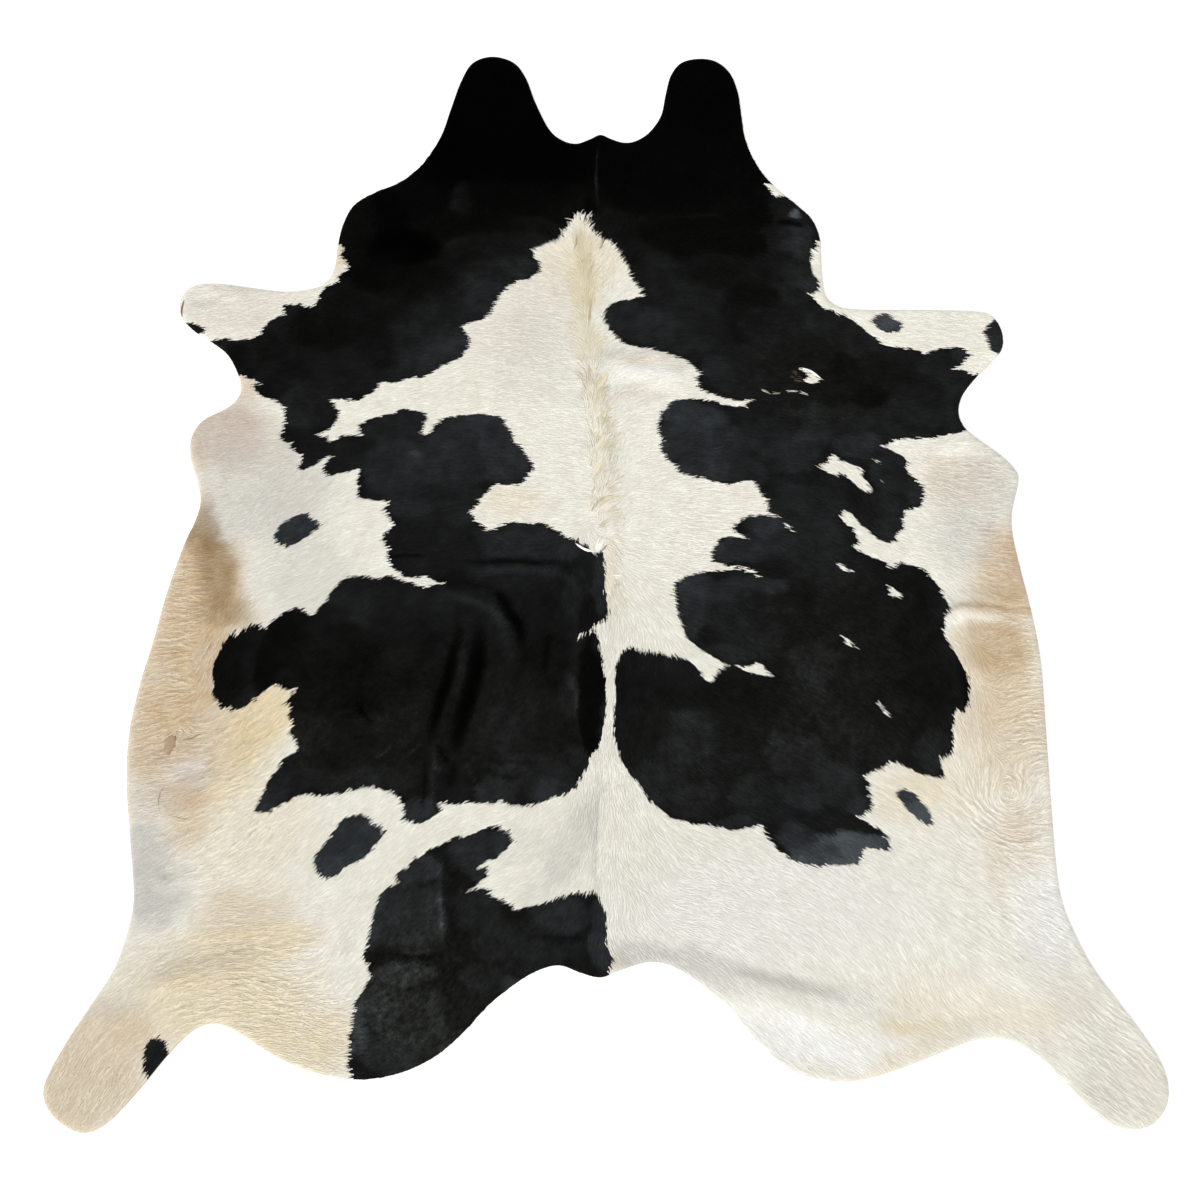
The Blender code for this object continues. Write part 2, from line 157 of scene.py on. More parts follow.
# The black patches of hair. A point on or past the cut edge closes a patch there.
BLACK: tuple[tuple[str, tuple[Point, ...]], ...] = (
    ("left side", (
        (0, 1250), (-600, 1250), (-650, 900), (-620, 664), (-579, 658), (-565, 645), (-573, 628),
        (-556, 608), (-553, 592), (-575, 575), (-573, 565), (-583, 555), (-603, 548), (-615, 525),
        (-625, 500), (-642, 498), (-655, 508), (-690, 504), (-688, 480), (-712, 468), (-727, 450),
        (-738, 430), (-750, 421), (-785, 418), (-800, 422), (-838, 419), (-870, 395), (-830, 340),
        (-768, 335), (-750, 329), (-720, 313), (-738, 309), (-735, 298), (-715, 284), (-690, 275),
        (-672, 260), (-665, 230), (-672, 190), (-662, 177), (-648, 181), (-648, 165), (-630, 152),
        (-622, 150), (-629, 116), (-615, 115), (-597, 125), (-571, 146), (-556, 148), (-571, 133),
        (-581, 116), (-566, 101), (-550, 104), (-524, 112), (-500, 119), (-503, 105), (-505, 94),
        (-500, 52), (-466, 49), (-437, 42), (-446, 28), (-432, 7), (-425, -10), (-447, -27), (-445, -42),
        (-437, -49), (-432, -84), (-426, -98), (-400, -118), (-385, -122), (-353, -117), (-334, -130),
        (-313, -133), (-340, -138), (-353, -145), (-376, -133), (-403, -128), (-424, -118), (-445, -120),
        (-466, -123), (-470, -117), (-500, -117), (-524, -128), (-540, -146), (-550, -168), (-563, -184),
        (-579, -203), (-597, -189), (-616, -186), (-639, -197), (-653, -213), (-676, -232), (-682, -221),
        (-700, -223), (-713, -231), (-726, -247), (-732, -231), (-745, -255), (-755, -271), (-767, -307),
        (-766, -328), (-761, -347), (-762, -365), (-747, -391), (-734, -394), (-729, -389), (-724, -398),
        (-703, -392), (-682, -376), (-661, -357), (-647, -348), (-634, -349), (-618, -356), (-592, -349),
        (-606, -362), (-618, -381), (-605, -392), (-612, -410), (-600, -428), (-605, -442), (-597, -452),
        (-584, -476), (-603, -484), (-616, -492), (-621, -513), (-634, -528), (-645, -544), (-650, -567),
        (-664, -591), (-651, -597), (-629, -594), (-616, -583), (-597, -575), (-587, -566), (-566, -560),
        (-545, -565), (-513, -563), (-492, -556), (-455, -549), (-439, -547), (-418, -553), (-397, -559),
        (-379, -577), (-374, -593), (-379, -608), (-368, -614), (-350, -617), (-332, -613), (-316, -601),
        (-303, -590), (-313, -579), (-300, -578), (-274, -580), (-250, -576), (-226, -580), (-200, -576),
        (-189, -574), (-176, -582), (-147, -582), (-121, -580), (-97, -569), (-68, -561), (-48, -549),
        (-37, -529), (-26, -514), (-20, -493), (-9, -477), (3, -457), (5, -423), (11, -397), (11, -360),
        (9, -334), (4, -302), (0, -276), (-4, -249), (-11, -236), (-47, -248), (-26, -236), (-11, -223),
        (10, -215), (17, -202), (13, -176), (9, -152), (13, -128), (13, -102), (9, -84), (5, -65),
        (-1, -64), (-9, -71), (-16, -66), (-23, -55), (-35, -49), (-53, -39), (-75, -33), (-84, -22),
        (-105, -12), (-121, -4), (-137, -5), (-168, -2), (-195, -1), (-200, -9), (-216, -14), (-234, -17),
        (-247, -6), (-258, 4), (-271, 23), (-255, 38), (-247, 52), (-234, 65), (-221, 84), (-200, 82),
        (-174, 82), (-155, 94), (-150, 107), (-142, 117), (-139, 130), (-150, 141), (-155, 154),
        (-168, 170), (-184, 183), (-184, 199), (-197, 217), (-205, 233), (-226, 241), (-250, 245),
        (-274, 244), (-300, 240), (-332, 233), (-350, 217), (-353, 202), (-374, 194), (-376, 207),
        (-371, 220), (-366, 233), (-371, 244), (-384, 249), (-400, 254), (-418, 256), (-434, 249),
        (-450, 241), (-471, 236), (-492, 229), (-508, 220), (-510, 209), (-497, 193), (-524, 194),
        (-545, 193), (-555, 183), (-568, 175), (-576, 191), (-600, 196), (-582, 202), (-568, 209),
        (-561, 223), (-553, 233), (-553, 246), (-558, 259), (-563, 270), (-574, 279), (-545, 277),
        (-518, 274), (-505, 278), (-492, 288), (-479, 299), (-474, 312), (-466, 320), (-437, 317),
        (-418, 323), (-400, 329), (-380, 330), (-365, 340), (-350, 350), (-335, 358), (-305, 375),
        (-295, 385), (-283, 405), (-283, 415), (-287, 430), (-298, 450), (-288, 460), (-275, 466),
        (-258, 468), (-248, 475), (-240, 485), (-228, 510), (-222, 525), (-205, 550), (-192, 558),
        (-180, 567), (-155, 570), (-145, 578), (-130, 600), (-143, 620), (-149, 632), (-146, 645),
        (-128, 656), (-114, 666), (-100, 667), (-87, 681), (-78, 695), (-70, 709), (-62, 721), (-52, 735),
        (-20, 765))),
    ("right side", (
        (-40, 1250), (-52, 738), (-46, 727), (-39, 716), (-29, 704), (-17, 691), (-4, 680), (7, 669),
        (24, 667), (34, 655), (49, 625), (65, 597), (66, 588), (71, 567), (84, 552), (95, 544), (87, 533),
        (100, 528), (84, 524), (58, 517), (42, 517), (26, 509), (13, 496), (8, 481), (13, 462), (21, 444),
        (34, 428), (47, 415), (63, 407), (84, 402), (111, 400), (126, 394), (147, 387), (166, 377),
        (184, 372), (205, 349), (218, 338), (205, 331), (208, 317), (211, 304), (226, 298), (247, 286),
        (279, 277), (300, 275), (324, 279), (303, 262), (284, 261), (258, 268), (232, 277), (195, 279),
        (158, 277), (145, 267), (142, 257), (129, 244), (124, 228), (121, 212), (126, 194), (132, 173),
        (129, 157), (139, 141), (155, 128), (168, 109), (189, 102), (221, 95), (245, 87), (274, 83),
        (284, 89), (305, 91), (316, 94), (324, 81), (332, 67), (342, 52), (347, 38), (345, 23), (376, 4),
        (353, 15), (326, 15), (303, 12), (289, -1), (271, -13), (284, -26), (305, -39), (284, -34),
        (263, -33), (242, -39), (239, -49), (229, -63), (226, -78), (232, -86), (253, -94), (284, -99),
        (308, -105), (334, -126), (289, -102), (253, -107), (226, -108), (195, -113), (179, -118),
        (158, -127), (150, -142), (153, -165), (155, -186), (161, -207), (166, -228), (171, -249),
        (189, -263), (211, -278), (232, -293), (247, -303), (268, -306), (284, -308), (300, -306),
        (318, -298), (326, -310), (334, -323), (347, -331), (316, -324), (295, -321), (279, -313),
        (253, -307), (239, -313), (232, -321), (226, -331), (213, -340), (205, -334), (200, -321),
        (189, -307), (174, -294), (153, -286), (137, -287), (116, -282), (95, -276), (79, -277),
        (58, -271), (50, -271), (42, -281), (34, -299), (29, -318), (27, -334), (32, -355), (29, -381),
        (27, -407), (26, -434), (29, -455), (39, -492), (47, -507), (58, -526), (74, -539), (84, -557),
        (95, -573), (113, -588), (132, -603), (153, -611), (179, -618), (200, -618), (221, -623),
        (258, -629), (279, -624), (300, -623), (311, -614), (313, -627), (316, -640), (329, -653),
        (342, -669), (358, -681), (379, -693), (400, -698), (429, -694), (450, -695), (476, -693),
        (488, -695), (492, -685), (496, -672), (500, -664), (518, -662), (542, -669), (550, -658),
        (545, -645), (532, -629), (513, -616), (495, -606), (471, -595), (503, -606), (511, -597),
        (523, -585), (517, -562), (519, -542), (511, -526), (524, -517), (545, -510), (561, -498),
        (576, -498), (587, -507), (613, -521), (645, -528), (663, -531), (661, -513), (657, -497),
        (666, -489), (684, -481), (688, -449), (683, -436), (689, -423), (697, -397), (713, -401),
        (721, -386), (724, -371), (729, -349), (728, -334), (718, -307), (703, -276), (692, -255),
        (686, -239), (691, -218), (695, -197), (702, -194), (700, -178), (692, -163), (687, -147),
        (674, -128), (661, -110), (647, -98), (629, -96), (608, -89), (597, -102), (587, -97), (576, -86),
        (561, -81), (534, -68), (513, -54), (532, -49), (524, -36), (521, -18), (508, -7), (497, 3),
        (495, 14), (500, 22), (518, 19), (529, 1), (545, -18), (563, -36), (587, -48), (603, -42),
        (608, -28), (624, -18), (624, 8), (629, 25), (645, 29), (661, 32), (666, 44), (672, 70),
        (666, 81), (658, 94), (647, 104), (637, 112), (642, 131), (637, 144), (618, 154), (597, 166),
        (589, 168), (608, 175), (621, 186), (645, 186), (666, 188), (687, 186), (718, 193), (750, 200),
        (771, 208), (800, 240), (830, 300), (813, 341), (797, 336), (782, 344), (755, 349), (766, 359),
        (779, 366), (795, 382), (789, 394), (779, 402), (761, 403), (739, 399), (718, 396), (703, 393),
        (696, 383), (687, 391), (671, 399), (650, 402), (624, 403), (608, 409), (595, 423), (576, 441),
        (555, 459), (534, 478), (518, 482), (503, 493), (487, 494), (476, 507), (463, 523), (453, 533),
        (468, 532), (478, 541), (479, 552), (476, 567), (468, 581), (463, 595), (463, 611), (468, 629),
        (462, 639), (476, 641), (479, 653), (479, 664), (488, 668), (560, 700), (500, 800), (412, 783),
        (389, 779), (384, 797), (368, 816), (386, 815), (450, 870), (450, 1250))),
    ("rump", (
        (-226, -625), (-200, -620), (-184, -629), (-171, -640), (-164, -649), (-179, -666), (-200, -682),
        (-224, -693), (-232, -701), (-216, -703), (-212, -714), (-232, -729), (-250, -744), (-226, -736),
        (-211, -740), (-200, -753), (-179, -760), (-166, -769), (-158, -778), (-137, -771), (-111, -766),
        (-84, -757), (-58, -748), (-34, -744), (-29, -751), (-13, -745), (-3, -753), (3, -766),
        (11, -787), (13, -814), (11, -840), (18, -853), (26, -866), (18, -882), (16, -895), (20, -950),
        (-200, -1150), (-447, -1120), (-447, -1073), (-455, -1056), (-455, -1024), (-453, -972),
        (-450, -945), (-434, -919), (-421, -898), (-426, -882), (-439, -861), (-434, -840), (-426, -808),
        (-421, -782), (-418, -756), (-405, -739), (-379, -730), (-387, -716), (-382, -707), (-363, -699),
        (-361, -687), (-342, -678), (-321, -666), (-300, -656), (-287, -645), (-274, -640), (-261, -644),
        (-247, -637))),
    ("left flank spot", (
        (-603, 20), (-592, 8), (-576, -10), (-587, -21), (-600, -34), (-613, -45), (-639, -56),
        (-663, -47), (-667, -28), (-661, -13), (-647, 1), (-624, 14))),
    ("left thigh spot", (
        (-461, -599), (-445, -606), (-434, -616), (-418, -622), (-414, -635), (-421, -651), (-434, -666),
        (-450, -685), (-474, -694), (-492, -711), (-513, -720), (-532, -714), (-537, -698), (-541, -679),
        (-529, -661), (-513, -643), (-503, -622), (-487, -606))),
    ("left hock spot", (
        (-803, -1001), (-787, -1008), (-783, -1022), (-770, -1050), (-800, -1085), (-816, -1071),
        (-824, -1051), (-824, -1024), (-816, -1008))),
    ("left wrist spot", (
        (-897, 463), (-876, 458), (-861, 452), (-851, 441), (-863, 437), (-885, 430), (-910, 455))),
    ("right foreleg spot", (
        (587, 467), (603, 481), (613, 486), (629, 482), (639, 467), (655, 457), (647, 441), (624, 435),
        (608, 441), (595, 452))),
    ("right wrist spot", (
        (853, 473), (885, 460), (890, 410), (860, 380), (853, 388), (839, 394), (837, 409), (833, 425),
        (826, 440), (839, 452), (847, 465))),
    ("right thigh spot", (
        (569, -561), (576, -552), (590, -553), (605, -563), (617, -577), (628, -592), (636, -606),
        (636, -618), (627, -622), (612, -614), (600, -604), (589, -592), (578, -577))),
)
# Pale hair inside the black: name and outline.
PALE: tuple[tuple[str, tuple[Point, ...]], ...] = (
    ("shoulder hole", (
        (427, 351), (437, 350), (448, 343), (460, 333), (470, 325), (458, 314), (446, 317), (438, 322),
        (445, 329), (441, 337), (434, 344))),
    ("elbow hole", (
        (450, 125), (476, 131), (479, 149), (492, 147), (503, 136), (532, 125), (547, 112), (542, 102),
        (555, 81), (566, 65), (547, 65), (529, 83), (508, 102), (492, 104), (471, 109), (461, 123))),
    ("elbow tick", ((566, 140), (576, 137), (584, 130), (573, 133))),
    ("elbow dot", ((584, 90), (589, 91), (589, 86), (584, 86))),
    ("flank line", ((380, -4), (399, -17), (396, -22), (384, -12))),
    ("flank streak", ((472, -86), (492, -95), (515, -108), (505, -109), (486, -101))),
    ("flank blob", ((582, -137), (594, -143), (607, -163), (589, -166), (583, -150))),
    ("loin blob", ((482, -246), (496, -253), (507, -265), (493, -266))),
    ("belly streak", ((543, -374), (555, -390), (568, -408), (558, -405), (547, -390))),
)


class Tint(Enum):
    """The tints of the pale hair: stains, and in a few places painted light and shade. Each is a mask of
    that name on the meshes.
    """

    BROWN = "brown"
    TAN = "tan"
    CREAM = "cream"
    GREY = "grey"
    ROSE = "rose"
    SNOW = "snow"
    STRAW = "straw"
    WORN = "worn"


# The stains of the pale hair, by tint and then by part of the hide, with some rows of painted light
# and shade among them: on the shoulder wave, along the right rump roll, and in creases and troughs.
# Each row is x, y, reach along and across, turn in degrees, and strength.
STAINS_AND_PAINTED_LIGHT: dict[Tint, tuple[tuple[float, ...], ...]] = {
    Tint.BROWN: (
        # left waist and flank
        (-806, -28, 36, 60, 8, 0.98), (-779, -112, 38, 62, 0, 0.74), (-756, -196, 62, 28, 0, 0.5),
        # chest, shoulder, spine and back
        (-50, 664, 11, 26, 0, 0.28), (-22, 318, 5, 30, 0, 0.26),
        # right shoulder, waist and flank
        # (790, -180) is painted shade along the right flank's crease.
        (842, -84, 24, 46, 0, 0.16), (812, -150, 50, 20, 0, 0.24), (790, -180, 90, 5, -3, 0.26),
        (794, -266, 56, 46, 0, 0.2),
        # right rump roll: painted shade where the fold starts
        (110, -884, 84, 10, -10, 0.22),
    ),
    Tint.TAN: (
        # left neck, foreleg and elbow
        (-838, 178, 26, 60, 0, 0.55), (-752, 296, 34, 34, 0, 0.55), (-572, 625, 26, 46, 0, 0.55),
        # left waist and flank
        (-790, -140, 68, 100, 0, 0.85), (-745, -190, 60, 50, 0, 0.45), (-835, -20, 34, 90, 0, 0.75),
        (-858, -160, 60, 120, 8, 0.46), (-850, -330, 70, 130, 5, 0.72), (-785, -300, 50, 130, 0, 0.72),
        (-866, -455, 62, 90, 0, 0.66),
        # left belly
        (-800, -540, 66, 60, 0, 0.36), (-856, -505, 64, 36, 0, 0.36), (-806, -568, 42, 30, 0, 0.72),
        (-785, -626, 34, 30, 0, 0.5), (-735, -470, 70, 60, 20, 0.3), (-778, -425, 50, 60, 0, 0.42),
        # left thigh, leg and rump
        (-745, -900, 110, 30, 14, 0.3), (-660, -776, 90, 40, 10, 0.42), (-935, -1060, 120, 110, 40, 0.4),
        (-850, -985, 26, 60, 60, 0.4),
        # chest, shoulder, spine and back
        (-36, 606, 12, 16, 10, 0.5),
        # right shoulder, waist and flank
        # (790, -182) is painted shade along the right flank's crease.
        (815, -110, 66, 100, 0, 0.8), (790, -182, 100, 9, -3, 0.7), (798, -262, 66, 62, 0, 0.72),
        (800, -410, 84, 140, 0, 0.4), (768, -335, 70, 100, 0, 0.28), (702, -427, 26, 40, 0, 0.3),
        (742, 92, 76, 56, 10, 0.36),
        # right belly
        (812, -621, 50, 34, 0, 0.26), (780, -668, 60, 66, 0, 0.22),
        # right thigh, leg and rump
        (750, -737, 14, 52, 8, 0.12), (600, -1015, 110, 16, 18, 0.2),
        # right rump roll: painted shade where the fold starts
        (118, -853, 70, 11, -10, 0.45), (50, -866, 40, 16, 20, 0.5),
    ),
    Tint.CREAM: (
        # left belly
        (-662, -415, 62, 84, -20, 0.78), (-730, -520, 60, 80, -10, 0.42),
        # left thigh, leg and rump
        (-680, -620, 130, 140, 0, 0.26), (-680, -940, 180, 100, -14, 0.55),
        (-540, -1030, 100, 40, -14, 0.24), (-640, -836, 110, 36, 6, 0.6), (-486, -1010, 50, 54, 0, 0.34),
        (-930, -1050, 130, 110, 40, 0.34),
        # chest, shoulder, spine and back
        (110, 376, 90, 12, -8, 0.2), (-190, 40, 60, 30, 0, 0.3), (-40, 612, 90, 84, 0, 0.3),
        # right shoulder, waist and flank
        (798, -330, 76, 130, 0, 0.3),
        # right belly
        (715, -520, 110, 70, 0, 0.22), (606, -560, 66, 60, 0, 0.34),
        # right thigh, leg and rump
        (690, -950, 150, 50, -4, 0.08), (680, -962, 130, 34, 0, 0.42), (650, -922, 96, 34, 0, 0.26),
        (520, -1046, 90, 20, 16, 0.42),
        # right rump roll
        (560, -985, 50, 18, -10, 0.45),
    ),
    Tint.GREY: (
        # left neck, foreleg and elbow
        # Painted shade along the left wrist's crease.
        (-850, 515, 60, 7, 3, 0.7),
        # left waist and flank
        (-700, 62, 130, 116, 0, 0.6), (-590, -116, 90, 86, 0, 0.42), (-866, -664, 50, 44, 0, 0.8),
        # (-845, -752) and (-852, -768) are painted shade in and below the left flank's wrinkle.
        (-858, -722, 60, 44, 0, 0.85), (-835, -765, 60, 40, 0, 0.75), (-845, -752, 62, 8, 4, 0.85),
        (-852, -768, 50, 12, 4, 0.4),
        # left belly
        (-788, -534, 30, 20, 0, 0.4),
        # left thigh, leg and rump
        (-735, -868, 120, 26, 12, 0.28), (-870, -935, 90, 26, 20, 0.3),
        # chest, shoulder, spine and back
        # (60, 392) and (150, 372) are painted shade above the shoulder wave.
        (-350, -760, 60, 30, 0, 0.2), (60, 392, 70, 14, -6, 0.62), (150, 372, 60, 14, -14, 0.5),
        (-110, 395, 110, 120, 0, 0.2),
        # rump and tail
        # (-66, -668) is painted shade in the tail trough, and (-10, -640) painted shade along the rump
        # line.
        (-66, -668, 38, 110, -28, 0.62), (-150, -650, 46, 36, 0, 0.25), (-10, -640, 8, 110, 0, 0.4),
        # right shoulder, waist and flank
        (785, 66, 90, 84, 0, 0.5), (752, -40, 66, 60, 0, 0.42), (700, -20, 50, 60, 0, 0.25),
        (740, -160, 40, 20, 0, 0.35), (760, 440, 90, 40, 0, 0.16),
        # right thigh, leg and rump
        (846, -796, 66, 86, -20, 0.62), (897, -1050, 34, 84, 10, 0.18), (300, -750, 300, 110, 0, 0.24),
        # right rump roll: painted shade along and beside the fold
        (285, -922, 130, 30, -14, 0.3), (270, -888, 150, 8, -14, 0.26), (125, -852, 96, 15, -10, 1),
        (60, -868, 44, 15, 16, 0.8), (110, -872, 110, 18, -10, 1), (190, -892, 60, 20, -24, 0.55),
    ),
    Tint.ROSE: (
        # left neck, foreleg and elbow
        (-790, 194, 84, 78, 0, 1), (-712, 162, 76, 50, 0, 0.5), (-790, 495, 130, 60, 0, 0.26),
        # left waist and flank
        (-640, 60, 60, 80, 0, 0.2), (-846, -648, 60, 36, 0, 0.32),
        # left belly
        (-872, -575, 60, 36, 0, 0.45), (-822, -508, 70, 50, 0, 0.36),
        # left thigh, leg and rump
        (-900, -1050, 110, 110, 50, 0.1), (-850, -850, 70, 46, 0, 0.15),
        # chest, shoulder, spine and back
        # (80, 292) is painted shade below the shoulder wave.
        (80, 292, 80, 20, -3, 0.3), (-183, 427, 110, 62, 0, 0.26), (-142, 540, 110, 70, 30, 0.24),
        # right thigh, leg and rump
        (960, -1084, 66, 60, 40, 0.2), (866, -940, 60, 40, -45, 0.24),
    ),
    Tint.SNOW: (
        # left belly
        (-806, -516, 40, 14, 28, 0.25),
        # chest, shoulder, spine and back
        # Painted highlight along the crest of the shoulder wave.
        (104, 338, 100, 16, -6, 0.55),
        # right shoulder, waist and flank
        # Painted highlight along the ridge of the right flank's crease.
        (745, -216, 70, 7, 0, 0.55),
        # right thigh, leg and rump
        (835, -780, 76, 94, 0, 0.6), (690, -940, 110, 50, 0, 0.45), (330, -780, 300, 120, 0, 0.38),
        (350, -1000, 130, 40, -20, 0.8), (480, -1020, 110, 36, 0, 0.45),
        # right rump roll: painted light that lifts the shade at the fold's far end
        (440, -936, 60, 16, -14, 0.4),
    ),
    Tint.STRAW: (
        # chest, shoulder, spine and back
        (-250, 300, 130, 60, 0, 0.07), (-40, 640, 24, 60, 0, 0.46), (-34, 550, 30, 70, 8, 0.42),
        (-22, 500, 9, 100, 4, 0.42), (-32, 460, 26, 100, 0, 0.34), (-20, 350, 22, 60, 6, 0.12),
        (4, 200, 22, 130, 4, 0.16), (26, -160, 14, 70, 0, 0.24),
    ),
    Tint.WORN: (
        # left belly
        (-470, -420, 200, 150, 0, 0.5),
        # chest, shoulder, spine and back
        (-150, -420, 150, 140, 0, 0.4),
        # rump and tail
        (-350, -940, 120, 130, 20, 1), (-250, -780, 170, 110, 0, 0.35),
        # right shoulder, waist and flank
        (480, 330, 160, 100, 0, 0.35),
        # right thigh, leg and rump
        (480, -330, 180, 200, 0, 0.5), (200, -480, 180, 120, 0, 0.3),
    ),
}
